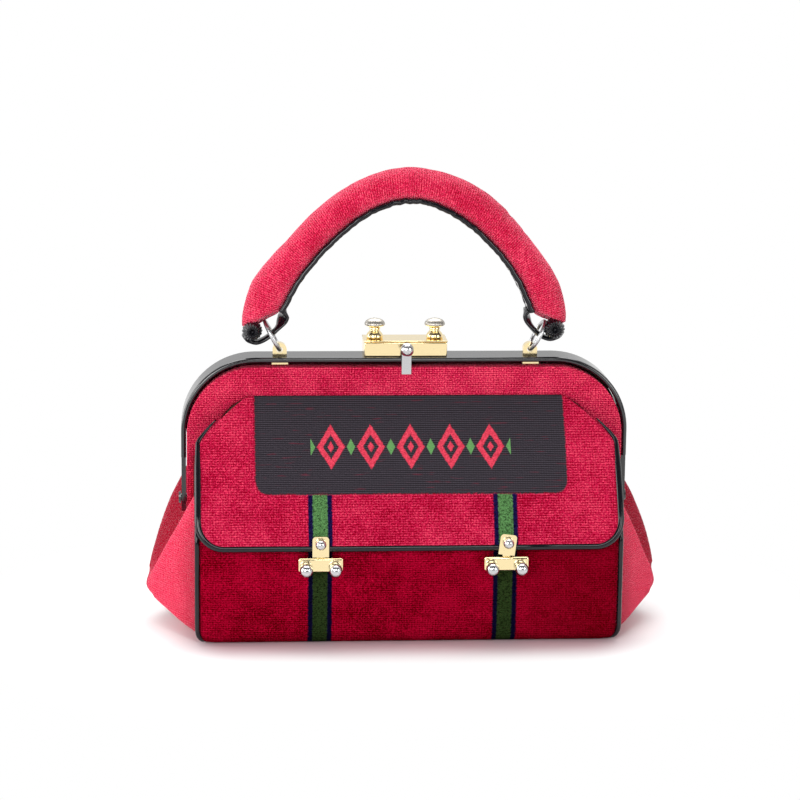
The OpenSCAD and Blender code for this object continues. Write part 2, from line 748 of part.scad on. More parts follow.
// Handle: padded grip, flat strip on its underside, piping along both edges and end loops
handle_curve = [
  [0, handle_crown_z], [0.42 * handle_end_x, handle_crown_z],
  [handle_end_x, handle_end_z] - 0.5 * handle_end_x * handle_end_dir, [handle_end_x, handle_end_z]
];
function grip_mid(t) = let(p = cubic(handle_curve, abs(t))) [sign(t) * p[0], handle_y, p[1]];
function grip_path(n) = [for (t = steps(-grip_end_t, grip_end_t, n)) grip_mid(t)];
function grip_out(path, i) = cross(path_dir(path, i), [0, 1, 0]);
grip_flat = grip_r - strip_t;
function grip_section(n) = [for (k = [0:n - 1]) let(a = 360 * k / n)
  [max(-grip_flat, grip_r * cos(a)), grip_half_w * sin(a)]];

// The grip's ends are cut along a slope that clears the rings
end_normal = unit([end_slope, 1]);
end_gap = 0.3;
function above_cut(x, z) = ([x, z] - ring_crown) * end_normal - wire_r - end_gap;
function to_cut(p, d) = let(q = [abs(p[0]), p[2]], e = unit([abs(d[0]), -abs(d[2])] + handle_end_dir))
  p + [sign(p[0]) * e[0], 0, e[1]] * max(0, above_cut(q[0], q[1]) / -(e * end_normal));
function grip_ring(path, i, section) = [for (p = section) path[i] + grip_out(path, i) * p[0] + [0, p[1], 0]];
function grip_rings(path, section) = [for (i = [0:len(path) - 1]) grip_ring(path, i, section)];
function end_ring(path, i, section) = [for (p = grip_ring(path, i, section)) to_cut(p, path_dir(path, i))];

strip_half_w = grip_half_w * sqrt(1 - pow(grip_flat / grip_r, 2)) + strip_lip;

module handle_grip() {
  path = grip_path(28);
  section = grip_section(16);
  first = end_ring(path, 0, section);
  last = end_ring(path, len(path) - 1, section);
  color(velvet) skin(concat([first], grip_rings(path, section), [last]));
}
module handle_strip() {
  high = -grip_flat - seam_gap;
  low = high - strip_t;
  section = [[high, -strip_half_w], [high, strip_half_w], [low, strip_half_w], [low, -strip_half_w]];
  color(patent) skin(grip_rings(grip_path(28), section));
}
module handle_piping(side) {
  n = 28;
  path = grip_path(n);
  rest = -grip_flat - grip_piping_r - seam_gap;
  line = [for (i = [0:n]) path[i] + grip_out(path, i) * rest
    + [0, side * (strip_half_w + grip_piping_r + seam_gap), 0]];
  color(patent) tube(line, [for (p = line) grip_piping_r], [0, 1, 0]);
}
module handle_piping_front() { handle_piping(-1); }
module handle_piping_rear() { handle_piping(1); }

// End loop: a leather band from the underside strip, round below the ring's crown,
// to a gathered bunch under the outer side of the grip
// (points as shares of the ring's radius, from the ring's middle)
loop_points = [
  [-0.8, 1.51], [-0.84, 1.14], [-0.55, 0.48], [0.04, -0.17], [0.76, -0.4], [1.5, -0.17], [1.98, 0.36]
];
loop_outer = [for (p = through(loop_points, 4)) ring_mid + ring_r * p];
bunch_from = 15;
bunch_t = 0.7 * ring_r;
function band_t(i) = loop_t + (bunch_t - loop_t) * ease((i - bunch_from) / 5);
function band_in(i) = let(d = path_dir(loop_outer, i)) [-d[1], d[0]];
loop_inner = [for (i = [0:len(loop_outer) - 1]) loop_outer[i] + band_t(i) * band_in(i)];

module handle_end() {
  bunch_x = ring_crown[0] + 2 * wire_r + 2;
  bunch_half_w = grip_half_w - 2;
  color(patent) {
    along_y(handle_y - loop_w / 2, handle_y + loop_w / 2) end_outline();
    intersection() {
      along_y(handle_y - bunch_half_w, handle_y + bunch_half_w) end_outline();
      translate([bunch_x, handle_y - grip_half_w, 0]) cube([rim_half_w, 2 * grip_half_w, 2 * rim_top]);
    }
  }
}
module end_outline() {
  intersection() {
    polygon(concat(loop_outer, reversed(loop_inner)));
    translate(ring_crown + (wire_r + end_gap - seat_gap) * end_normal)
      rotate(-atan(end_slope))
        translate([-rim_half_w, -rim_half_w]) square([2 * rim_half_w, rim_half_w]);
  }
}
module handle_end_right() { handle_end(); }
module handle_end_left() { mirror([1, 0, 0]) handle_end(); }

// Catches that hold the flap down
module flap_hasp(tilt) {
  corner_r = 2;
  tongue_l = 4.5;
  tongue_top = plate_half_w * sin(tilt) + 2 * seat_gap;
  color(gold)
    translate([0, plate_y, catch_top + slide_gap]) {
      translate([0, 0, plate_half_w * sin(tilt)])
        rotate([0, tilt, 0])
          along_y(-plate_t, 0) {
            translate([-plate_half_w, 0]) square([2 * plate_half_w, plate_h - corner_r]);
            translate([corner_r - plate_half_w, 0]) square([2 * (plate_half_w - corner_r), plate_h]);
            for (side = [-1, 1])
              translate([side * (plate_half_w - corner_r), plate_h - corner_r]) circle(corner_r);
          }
      translate([-flap_tongue_half_w, -plate_t, -tongue_l])
        cube([2 * flap_tongue_half_w, plate_t, tongue_l + tongue_top]);
    }
}
module flap_hasp_left() { translate([cloth_shift - catch_x, 0, 0]) flap_hasp(0); }
module flap_hasp_right() { translate([cloth_shift + catch_x, 0, 0]) flap_hasp(plate_tilt); }

module flap_hasp_rivets() {
  rise = 8;
  color(silver)
    for (side = [-1, 1])
      translate([cloth_shift + side * catch_x, plate_y - plate_t, catch_top + rise])
        translate([side > 0 ? rise * sin(plate_tilt) : 0, 0, 0])
          flat_ball(rivet_r);
}

module catch_box() {
  slot_z = ball_z - catch_bottom;
  stem_gap = ball_stem_r + slide_gap;
  mouth_half_w = flap_tongue_half_w + 2 * slide_gap;
  color(gold)
    translate([0, 0, catch_bottom])
      difference() {
        translate([-catch_half_w, catch_front, 0]) cube([2 * catch_half_w, catch_d, catch_h]);
        translate([catch_sheet - catch_half_w, catch_front + catch_sheet, catch_sheet])
          cube([2 * (catch_half_w - catch_sheet), catch_d - 2 * catch_sheet, catch_h - 2 * catch_sheet]);
        for (side = [0, 1])
          mirror([side, 0, 0])
            translate([0, catch_front + 2 * catch_sheet, slot_z])
              rotate([90, 0, 0])
                slot(ball_x, ball_x + ball_travel, stem_gap, 3 * catch_sheet);
        translate([-mouth_half_w, plate_y - plate_t - soft_gap, catch_h - 2 * catch_sheet])
          cube([2 * mouth_half_w, plate_t + 2 * soft_gap, 4 * catch_sheet]);
      }
}
module catch_box_left() { translate([cloth_shift - catch_x, 0, 0]) catch_box(); }
module catch_box_right() { translate([cloth_shift + catch_x, 0, 0]) catch_box(); }

// Ball on a stem, with the bolt that it slides inside the box
module catch_knob(side) {
  tip = flap_tongue_half_w + slide_gap + soft_gap;
  end = catch_half_w - catch_sheet - ball_travel - slide_gap;
  bolt_d = catch_d - 2 * catch_sheet - 2 * slide_gap - 1.4;
  bolt_h = 2 * (ball_z - catch_bottom - catch_sheet - slide_gap) + 1.6;
  face = catch_front + catch_sheet + slide_gap;
  ball_y = catch_front - slide_gap - ball_r;
  color(silver)
    mirror([side < 0 ? 1 : 0, 0, 0]) {
      translate([ball_x, ball_y, ball_z]) sphere(ball_r);
      translate([ball_x, face + eps, ball_z])
        rotate([90, 0, 0])
          cylinder(r = ball_stem_r, h = face - ball_y);
      translate([tip, face, catch_bottom + catch_sheet + slide_gap]) cube([end - tip, bolt_d, bolt_h]);
    }
}
module catch_knob_left_outer() { translate([cloth_shift - catch_x, 0, 0]) catch_knob(-1); }
module catch_knob_left_inner() { translate([cloth_shift - catch_x, 0, 0]) catch_knob(1); }
module catch_knob_right_inner() { translate([cloth_shift + catch_x, 0, 0]) catch_knob(-1); }
module catch_knob_right_outer() { translate([cloth_shift + catch_x, 0, 0]) catch_knob(1); }

module catch_springs() {
  color(silver)
    for (side = [-1, 1])
      translate([cloth_shift + side * catch_x, catch_back - catch_sheet - seat_gap, catch_bottom])
        translate([0, 0, catch_sheet]) leaf(catch_half_w - catch_sheet - 2, 0.7, 0.3, catch_h - 2 * catch_sheet - 1);
}

body_panel();
front_wall();
rear_wall();
gusset_left();
gusset_right();
seam_piping_left();
seam_piping_right();
flap();
flap_piping();
front_frame();
rear_frame();
hinge_pins();
top_hasp();
top_hasp_ball();
clasp_box();
clasp_lid();
clasp_spring();
clasp_bolt_left();
clasp_bolt_right();
clasp_knob_left();
clasp_knob_right();
lug_left();
lug_right();
lug_backplates();
ring_left();
ring_right();
handle_grip();
handle_strip();
handle_piping_front();
handle_piping_rear();
handle_end_left();
handle_end_right();
flap_hasp_left();
flap_hasp_right();
flap_hasp_rivets();
catch_box_left();
catch_box_right();
catch_springs();
catch_knob_left_outer();
catch_knob_left_inner();
catch_knob_right_inner();
catch_knob_right_outer();
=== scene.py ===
"""Looks of a velvet frame handbag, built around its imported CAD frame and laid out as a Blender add-on."""

import json
import math

import bmesh
import bpy
from bpy.props import FloatProperty, FloatVectorProperty, PointerProperty
from mathutils import Matrix, Vector, noise


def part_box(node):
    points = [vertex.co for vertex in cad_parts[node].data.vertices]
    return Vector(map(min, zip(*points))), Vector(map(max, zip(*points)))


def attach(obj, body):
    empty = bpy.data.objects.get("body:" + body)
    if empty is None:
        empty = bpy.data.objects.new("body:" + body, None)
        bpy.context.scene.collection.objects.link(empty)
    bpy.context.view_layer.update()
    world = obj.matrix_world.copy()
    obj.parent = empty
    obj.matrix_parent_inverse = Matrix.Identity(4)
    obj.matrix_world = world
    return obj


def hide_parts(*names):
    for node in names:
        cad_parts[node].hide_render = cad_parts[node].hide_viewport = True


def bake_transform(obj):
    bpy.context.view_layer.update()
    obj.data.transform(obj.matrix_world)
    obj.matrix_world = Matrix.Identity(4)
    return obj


bl_info = {
    "name": "Velvet frame handbag",
    "version": (1, 0, 0),
    "blender": (4, 5, 0),
    "location": "3D View > Sidebar > Handbag",
    "description": "Models the cloth, trim and fittings of a frame handbag",
    "category": "Object",
}

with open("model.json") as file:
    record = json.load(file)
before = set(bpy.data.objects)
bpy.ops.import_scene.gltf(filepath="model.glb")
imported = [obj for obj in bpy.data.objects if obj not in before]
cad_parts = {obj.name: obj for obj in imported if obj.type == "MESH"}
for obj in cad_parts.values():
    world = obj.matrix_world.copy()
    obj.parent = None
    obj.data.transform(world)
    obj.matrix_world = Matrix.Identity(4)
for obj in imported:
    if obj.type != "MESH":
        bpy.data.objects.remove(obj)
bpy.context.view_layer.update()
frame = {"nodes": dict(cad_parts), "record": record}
nodes = frame["nodes"]

MM = 0.001
BODY = "bag_body"
JAW = "rear_jaw"
HANDLE = "handle"
SIDES = (("left", -1), ("right", 1))


def length(label, default, description):
    return FloatProperty(name=label, description=description, default=default * MM, min=0.0, subtype="DISTANCE")


def colour(label, default, description):
    return FloatVectorProperty(
        name=label, description=description, default=default, size=3, min=0.0, max=1.0, subtype="COLOR"
    )


class HandbagSizes(bpy.types.PropertyGroup):
    """Sizes of the soft pieces and trim."""

    cloth_wall: length("Cloth wall", 2.4, "Thickness of the velvet with its backing")
    flap_wall: length("Flap wall", 3.2, "Thickness of the flap")
    flap_piping: length("Flap piping", 2.1, "Radius of the piping round the flap")
    seam_piping: length("Seam piping", 1.4, "Radius of the piping in the side seams")
    grip_piping: length("Grip piping", 1.6, "Radius of the piping along the grip")
    pile_ripple: length("Pile ripple", 0.5, "Height of the soft unevenness of the panels")
    gusset_crease: length("Gusset creases", 0.7, "Depth of the soft creases in the gussets")
    field_depth: length("Field depth", 0.7, "Depth of the flat woven field below the pile")
    edge_round: length("Metal edges", 0.7, "Rounding of the fittings' edges")


class HandbagColours(bpy.types.PropertyGroup):
    """Colours of the materials."""

    velvet_light: colour("Velvet, light", (0.90, 0.090, 0.150), "Pile that leans towards the light")
    velvet_deep: colour("Velvet, deep", (0.25, 0.0, 0.011), "Pile that leans away from the light")
    flap_light: colour("Flap, light", (0.74, 0.056, 0.115), "Lighter pile of the flap")
    # Flap, deep also colours the dark edge velvet of the flap, which is painted shade.
    flap_deep: colour("Flap, deep", (0.23, 0.0, 0.009), "Deeper pile of the flap")
    panel_light: colour("Lower panel, light", (0.42, 0.003, 0.030), "Lighter patches of the lower panel")
    # Lower panel, deep also gives the painted shade on the right side of the lower panel, and, with Flap, deep, the
    # painted shade on the flap's edge walls.
    panel_deep: colour("Lower panel, deep", (0.070, 0.0, 0.0), "Deeper patches of the lower panel")
    charcoal: colour("Woven field", (0.034, 0.029, 0.036), "Flat woven field of the flap")
    green: colour("Green stripe", (0.105, 0.26, 0.085), "Middle of the stripes on the flap")
    panel_green: colour("Lower green stripe", (0.024, 0.045, 0.012), "Middle of the stripes below the flap")
    navy: colour("Navy stripe", (0.012, 0.008, 0.062), "Edges of the stripes")
    patent: colour("Patent leather", (0.004, 0.0038, 0.006), "Piping, rim and handle trim")
    gilt: colour("Gilt", (1.0, 0.82, 0.47), "Clasp, lugs and catches")
    nickel: colour("Nickel", (0.62, 0.62, 0.63), "Rings, balls and hasp")
    worn_plating: colour("Worn plating", (0.50, 0.47, 0.42), "Heads of the clasp knobs")
    lining: colour("Lining", (0.10, 0.035, 0.022), "Woven lining")


def size(name):
    return getattr(bpy.context.scene.handbag_sizes, name) / MM


def tint(name):
    return tuple(getattr(bpy.context.scene.handbag_colours, name))


# Form of the bag in millimetres, after its solids
PANEL_W = 120.0
BASE_D = 58.0
BASE_R = 9.0
POCKET_TOP = 72.0
BACK_FOOT = 42.0
FLAP_BOTTOM = 60.0
FLAP_TOP = 137.0
FLAP_W = 119.4
FLAP_CORNER = 13.5
SHOULDER_W = 28.0
SHOULDER_H = 24.0
SHOULDER_BOW = 1.15
FLAP_BOTTOM_Y = -63.0
FLAP_TOP_Y = -14.7
FIELD_W = 89.6
FIELD_BOTTOM = 87.0
FIELD_R = 7.0
STRIPE_X = 53.0
DESIGN_X = 1.5
FRAME_FRONT = -13.0
REAR_TOP_Y = 7.0
HINGE = (-2.0, 74.0)
JAW_W = 126.9
JAW_TOP = 153.5
JAW_R = 39.9
ARCH_X = 87.0
FLANGE_BOTTOM = 101.0
GUSSET_D = 55.0
GUSSET_FOOT = 3.0
TIP_Z = 19.0
TIP_REACH = 34.0
RIDGE_TOP = 96.0
FRONT_RIDGE_TOP = 84.0
RIDGE_REACH = 4.0
GUSSET_TOP = 100.0
VALLEY_Z = 64.0
HANDLE_Y = -2.0
RING_MID = (77.225, 170.047)
RING_R = 9.0
RING_LEAN = math.radians(28)
CROWN_Z = 258.5
GRIP_R = 9.8
GRIP_W = 11.0
GRIP_FLAT = 8.2
GRIP_END = 0.86
END_SLOPE = 0.44
GRIP_ROWS = 160
RING_CROWN = Vector(RING_MID) + RING_R * Vector((math.sin(RING_LEAN), math.cos(RING_LEAN)))
GRIP_LEAN = Vector((math.sin(math.radians(10)), -math.cos(math.radians(10))))


def ease(t):
    t = min(1.0, max(0.0, t))
    return t * t * (3 - 2 * t)


def flap_share(z):
    return max(0.0, (z - FLAP_BOTTOM) / (FLAP_TOP - FLAP_BOTTOM))


def flap_y(z):
    return FLAP_BOTTOM_Y + (FLAP_TOP_Y - FLAP_BOTTOM_Y) * flap_share(z) ** 1.3


def pocket_y(z):
    if z >= FLAP_BOTTOM:
        return flap_y(z) + 4.5 - 3.0 * flap_share(z) + 0.5
    return -BASE_D - 1.5 * math.sin(math.pi * (FLAP_BOTTOM - z) / (FLAP_BOTTOM - BASE_R))


def rear_y(z):
    return BASE_D - (BASE_D - REAR_TOP_Y) * ease((z - 50) / 68)


def base_inset(z):
    r = BASE_R - 3.0
    return r - math.sqrt(max(0.0, r * r - (BASE_R - z) ** 2)) if z < BASE_R else 0.0


def gusset_front_y(z):
    return -GUSSET_D + base_inset(z) + (GUSSET_D + FRAME_FRONT) * ease((z - FLAP_BOTTOM) / 40)


def gusset_rear_y(z):
    return min(GUSSET_D - base_inset(z), rear_y(z) - 1.2)


def ridge_share(z):
    if z >= TIP_Z:
        return max(0.05, 0.9 * min(1.0, (z - TIP_Z) / (RIDGE_TOP - TIP_Z)))
    return min(0.94, max(0.05, (TIP_Z - z) / (TIP_Z - GUSSET_FOOT)))


def front_ridge_x(z, bow):
    if z < TIP_Z:
        return foot_x(z)
    rise = (z - TIP_Z) / (FRONT_RIDGE_TOP - TIP_Z)
    if rise >= 1:
        return max(valley_x(z), 0.3 * (FRONT_RIDGE_TOP - z))
    return TIP_REACH * (1 - rise) ** 0.8 + bow * math.sin(math.pi * rise)


def rear_ridge_x(z, bow):
    if z > RIDGE_TOP:
        return RIDGE_REACH - (RIDGE_REACH + 1) * (z - RIDGE_TOP) / (GUSSET_TOP - RIDGE_TOP)
    if z < TIP_Z:
        return foot_x(z)
    rise = (z - TIP_Z) / (RIDGE_TOP - TIP_Z)
    return TIP_REACH + (RIDGE_REACH - TIP_REACH) * rise + bow * math.sin(math.pi * rise)


def foot_x(z):
    return TIP_REACH * max(0.0, (z - GUSSET_FOOT) / (TIP_Z - GUSSET_FOOT)) ** 0.95


def valley_x(z):
    if z >= TIP_Z:
        return max(-1 - 0.04 * (z - VALLEY_Z), TIP_REACH - (TIP_REACH + 1) * (z - TIP_Z) / (VALLEY_Z - TIP_Z))
    return foot_x(z)


def fold_x(z, u, front_bow, rear_bow):
    r, a = ridge_share(z), abs(u)
    ridge = rear_ridge_x(z, rear_bow) if u > 0 else front_ridge_x(z, front_bow)
    if a >= r:
        return ridge * (1 - a) / (1 - r)
    sharp = 1.5 + 1.5 * ease((z - 66) / 20)
    return valley_x(z) + (ridge - valley_x(z)) * (a / r) ** sharp


def arched(z, side, corner_z, corner_r):
    """Half width of a panel that fits under the arch of the frame."""
    if z > corner_z:
        return min(side, ARCH_X + math.sqrt(max(0.0, corner_r**2 - (z - corner_z) ** 2)))
    return side


def corner_inset(z):
    """Rounding of the lower corners, seen from the front."""
    return 5.0 * (1 - math.sqrt(1 - (1 - max(0.0, z) / 9.0) ** 2)) if z < 9.0 else 0.0


def flap_half_w(z):
    low, high = z - FLAP_BOTTOM, FLAP_TOP - z
    if low < FLAP_CORNER:
        return FLAP_W - FLAP_CORNER + math.sqrt(max(0.0, FLAP_CORNER**2 - (FLAP_CORNER - low) ** 2))
    if high < SHOULDER_H:
        rise = (1 - high / SHOULDER_H) ** SHOULDER_BOW
        return FLAP_W - SHOULDER_W + SHOULDER_W * max(0.0, 1 - rise) ** (1 / SHOULDER_BOW)
    return FLAP_W


def soft(x, y, z, scale, seed=0.0):
    """Smooth unevenness between about -1 and 1, with features of roughly 1 / scale millimetres."""
    return noise.noise(Vector((x * scale + seed, y * scale - seed, z * scale + 2 * seed)))


def resampled(points, count):
    """The same line with count + 1 points at even distances."""
    points = [Vector(p) for p in points]
    marks = [0.0]
    for a, b in zip(points, points[1:]):
        marks.append(marks[-1] + (b - a).length)
    found, k = [], 0
    for i in range(count + 1):
        d = marks[-1] * i / count
        while k < len(points) - 2 and marks[k + 1] < d:
            k += 1
        span = marks[k + 1] - marks[k]
        found.append(points[k].lerp(points[k + 1], (d - marks[k]) / span if span else 0.0))
    return found, marks[-1]


def through(points, n):
    """Smooth curve through the points, n steps between each pair."""
    p = [Vector(q) for q in points]
    m = len(p) - 1
    found = []
    for i in range(m):
        a, b, c, d = p[max(i - 1, 0)], p[i], p[i + 1], p[min(i + 2, m)]
        for k in range(n):
            t = k / n
            found.append(b + 0.5 * t * (c - a + t * (2 * a - 5 * b + 4 * c - d + t * (3 * b - 3 * c + d - a))))
    return found + [p[m]]


def steps(a, b, n):
    return [a + (b - a) * i / n for i in range(n + 1)]


def arc(cx, cy, r, a, b, n):
    turns = [math.radians(t) for t in steps(a, b, n)]
    return [(cx + r * math.cos(t), cy + r * math.sin(t)) for t in turns]


# Meshes


def sheet_mesh(columns, rows, place, run=(1.0, 1.0), closed=False):
    """A grid bent to place(u, v), with a UV map in metres; closed joins its two long edges."""
    bm = bmesh.new()
    bmesh.ops.create_grid(bm, x_segments=columns, y_segments=rows, size=0.5)
    cloth = bm.loops.layers.uv.new("cloth")
    for face in bm.faces:
        for loop in face.loops:
            loop[cloth].uv = ((loop.vert.co.x + 0.5) * run[0] * MM, (loop.vert.co.y + 0.5) * run[1] * MM)
    for v in bm.verts:
        v.co = Vector(place(v.co.x + 0.5, v.co.y + 0.5)) * MM
    if closed:
        bmesh.ops.remove_doubles(bm, verts=bm.verts[:], dist=0.00002)
    bm.normal_update()
    return bm


def face_towards(bm, point, away=True):
    """Turns a sheet so that its faces look away from a point, in millimetres, or towards it."""
    bm.normal_update()
    centre = Vector(point) * MM
    total = sum((f.normal.dot(f.calc_center_median() - centre)) * f.calc_area() for f in bm.faces)
    if (total < 0) == away:
        bmesh.ops.reverse_faces(bm, faces=bm.faces[:])


def closed_normals(bm):
    bmesh.ops.recalc_face_normals(bm, faces=bm.faces[:])


def cap_ends(bm):
    """Closes the open ends of a tube."""
    open_edges = [e for e in bm.edges if e.is_boundary]
    bmesh.ops.holes_fill(bm, edges=open_edges, sides=0)
    closed_normals(bm)


def linked(name, data):
    obj = bpy.data.objects.new(name, data)
    bpy.context.scene.collection.objects.link(obj)
    return obj


def piece(name, bm, looks, body, node, shaded=False):
    """Makes the object that stands for a solid; shaded keeps the mesh's own choice of flat and smooth faces."""
    mesh = bpy.data.meshes.new(name)
    bm.to_mesh(mesh)
    bm.free()
    for look in looks:
        mesh.materials.append(finishes[look])
    if not shaded:
        mesh.polygons.foreach_set("use_smooth", [True] * len(mesh.polygons))
    obj = linked(name, mesh)
    if body:
        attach(obj, body)
    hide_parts(node)
    return obj


def relax(bm, verts, times):
    for _ in range(times):
        bmesh.ops.smooth_vert(bm, verts=verts, factor=0.5, use_axis_x=True, use_axis_y=True, use_axis_z=True)


def thicken(obj, thickness, lined=False, rim=0):
    solid = obj.modifiers.new("wall", "SOLIDIFY")
    solid.thickness = thickness * MM
    solid.offset = -1.0
    solid.use_even_offset = False
    if lined:
        solid.material_offset = 1
        solid.material_offset_rim = rim


def tube_mesh(points, radius, n, radii=None):
    """Round tube along points in millimetres, with closed ends."""
    pts = [Vector(p) for p in points]
    count = len(pts) - 1
    dirs = [(pts[min(i + 1, count)] - pts[max(i - 1, 0)]).normalized() for i in range(count + 1)]
    aside = [dirs[0].orthogonal().normalized()]
    for a, b in zip(dirs, dirs[1:]):
        aside.append((a.rotation_difference(b) @ aside[-1]).normalized())

    def place(u, v):
        i = round(v * count)
        other = dirs[i].cross(aside[i])
        r = radii[i] if radii else radius
        a = 2 * math.pi * u
        return pts[i] + r * (math.cos(a) * aside[i] + math.sin(a) * other)

    bm = sheet_mesh(n, count, place, closed=True)
    cap_ends(bm)
    return bm


def arch_sweep(section, half_w, top, r, bottom, turns):
    """A section of (inset, y) points swept up one leg, over the arch and down the other leg."""
    bm = bmesh.new()
    verts = [bm.verts.new(Vector((inset - half_w, y, bottom)) * MM) for inset, y in section]
    start = bm.faces.new(verts)
    edges = start.edges[:]

    def push(edges, offset):
        made = bmesh.ops.extrude_edge_only(bm, edges=edges)["geom"]
        bmesh.ops.translate(bm, verts=[g for g in made if isinstance(g, bmesh.types.BMVert)], vec=Vector(offset) * MM)
        return [g for g in made if isinstance(g, bmesh.types.BMEdge) and len(g.link_faces) == 1]

    def turn(edges, x):
        geom = list({v for e in edges for v in e.verts}) + edges
        corner = {"cent": Vector((x, 0, top - r)) * MM, "axis": (0, 1, 0), "dvec": (0, 0, 0), "angle": math.pi / 2}
        made = bmesh.ops.spin(bm, geom=geom, steps=turns, use_merge=False, **corner)["geom_last"]
        return [g for g in made if isinstance(g, bmesh.types.BMEdge)]

    edges = push(edges, (0, 0, top - r - bottom))
    edges = turn(edges, r - half_w)
    edges = push(edges, (2 * (half_w - r), 0, 0))
    edges = turn(edges, half_w - r)
    edges = push(edges, (0, 0, bottom + r - top))
    bmesh.ops.contextual_create(bm, geom=edges)
    closed_normals(bm)
    return bm


def rounded(bm, offset, segments, angle=30):
    sharp = [e for e in bm.edges if len(e.link_faces) == 2 and e.calc_face_angle(0) > math.radians(angle)]
    shape = {"segments": segments, "profile": 0.5, "affect": "EDGES"}
    bmesh.ops.bevel(bm, geom=sharp, offset=offset * MM, material=-1, clamp_overlap=True, **shape)


def block(low, high, round_r, segments):
    """Box between two corners, with rounded edges and flat sides."""
    bm = bmesh.new()
    bmesh.ops.create_cube(bm, size=1.0)
    bmesh.ops.scale(bm, vec=high - low, verts=bm.verts[:])
    bmesh.ops.translate(bm, vec=(low + high) / 2, verts=bm.verts[:])
    rounded(bm, round_r, segments)
    for face in bm.faces:
        face.smooth = face.calc_area() < 30 * MM * MM
    return bm


def lathe(profile, at, turns):
    """Profile of (radius, height) in millimetres turned about an upright axis through a point."""
    bm = bmesh.new()
    verts = [bm.verts.new((r * MM, 0, h * MM)) for r, h in profile]
    edges = [bm.edges.new(pair) for pair in zip(verts, verts[1:])]
    turn = {"cent": (0, 0, 0), "axis": (0, 0, 1), "dvec": (0, 0, 0), "angle": 2 * math.pi}
    bmesh.ops.spin(bm, geom=verts + edges, steps=turns, use_merge=True, **turn)
    bmesh.ops.remove_doubles(bm, verts=bm.verts[:], dist=0.000005)
    closed_normals(bm)
    bmesh.ops.translate(bm, vec=Vector(at) * MM, verts=bm.verts[:])
    return bm


# Materials


class Nodes:
    """Short ways to add nodes to a tree."""

    def __init__(self, tree):
        self.tree = tree

    def add(self, kind, inputs=(), **settings):
        node = self.tree.nodes.new("ShaderNode" + kind)
        for key, value in settings.items():
            setattr(node, key, value)
        for key, value in dict(inputs).items():
            self.feed(node.inputs[key], value)
        return node

    def feed(self, socket, value):
        if isinstance(value, bpy.types.NodeSocket):
            self.tree.links.new(value, socket)
        elif isinstance(value, tuple) and len(value) == 3 and socket.type == "RGBA":
            socket.default_value = (*value, 1.0)
        else:
            socket.default_value = value

    def math(self, operation, a, b=0.0, c=0.0, clamp=False):
        return self.add("Math", {0: a, 1: b, 2: c}, operation=operation, use_clamp=clamp).outputs[0]

    def between(self, value, low, high, out_low=0.0, out_high=1.0):
        inputs = {"Value": value, 1: low, 2: high, 3: out_low, 4: out_high}
        return self.add("MapRange", inputs, interpolation_type="SMOOTHSTEP").outputs[0]


class Finish(Nodes):
    """A material under construction, with a Principled surface."""

    def __init__(self, name, roughness=0.5, metallic=0.0):
        self.material = bpy.data.materials.new(name)
        self.material.use_nodes = True
        super().__init__(self.material.node_tree)
        self.surface = self.tree.nodes["Principled BSDF"]
        self.set(Roughness=roughness, Metallic=metallic)
        self.coords = self.tree.nodes.new("ShaderNodeTexCoord").outputs["Object"]

    def set(self, **values):
        for key, value in values.items():
            self.feed(self.surface.inputs[key.replace("_", " ")], value)

    def axes(self):
        return self.add("SeparateXYZ", {0: self.coords}).outputs

    def cloud(self, scale, detail=2.0, rough=0.5, stretch=None):
        vector = self.coords
        if stretch:
            vector = self.add("Mapping", {"Vector": vector, "Scale": stretch}).outputs[0]
        inputs = {"Vector": vector, "Scale": scale, "Detail": detail, "Roughness": rough}
        return self.add("TexNoise", inputs).outputs["Fac"]

    def ribs(self, pitch, axis, wobble):
        """Fine parallel ribs, pitch in millimetres."""
        inputs = {"Vector": self.coords, "Scale": 0.31416 / (pitch * MM), "Distortion": wobble}
        inputs.update({"Detail": 2.0, "Detail Scale": 2.0})
        return self.add("TexWave", inputs, wave_type="BANDS", bands_direction=axis).outputs["Fac"]

    def rays(self, centre_z, radius, pitch):
        """Fine ribs like rays in the XZ plane, pitch in millimetres at the given radius."""
        x, _, z = self.axes()
        turn = self.math("ARCTAN2", self.math("SUBTRACT", z, centre_z * MM), x)
        wave = self.math("SINE", self.math("MULTIPLY", turn, 2 * math.pi * radius / pitch))
        return self.math("MULTIPLY_ADD", wave, 0.5, 0.5)

    def mix(self, share, a, b):
        node = self.add("Mix", data_type="RGBA")
        self.feed(node.inputs["Factor"], share)
        colours = [s for s in node.inputs if s.type == "RGBA"]
        self.feed(colours[0], a)
        self.feed(colours[1], b)
        return next(s for s in node.outputs if s.type == "RGBA")

    def colour(self, value):
        self.feed(self.surface.inputs["Base Color"], value)

    def roughness(self, value):
        self.feed(self.surface.inputs["Roughness"], value)

    def bump(self, height, distance, strength):
        node = self.add("Bump", {"Height": height, "Distance": distance * MM, "Strength": strength})
        self.tree.links.new(node.outputs[0], self.surface.inputs["Normal"])


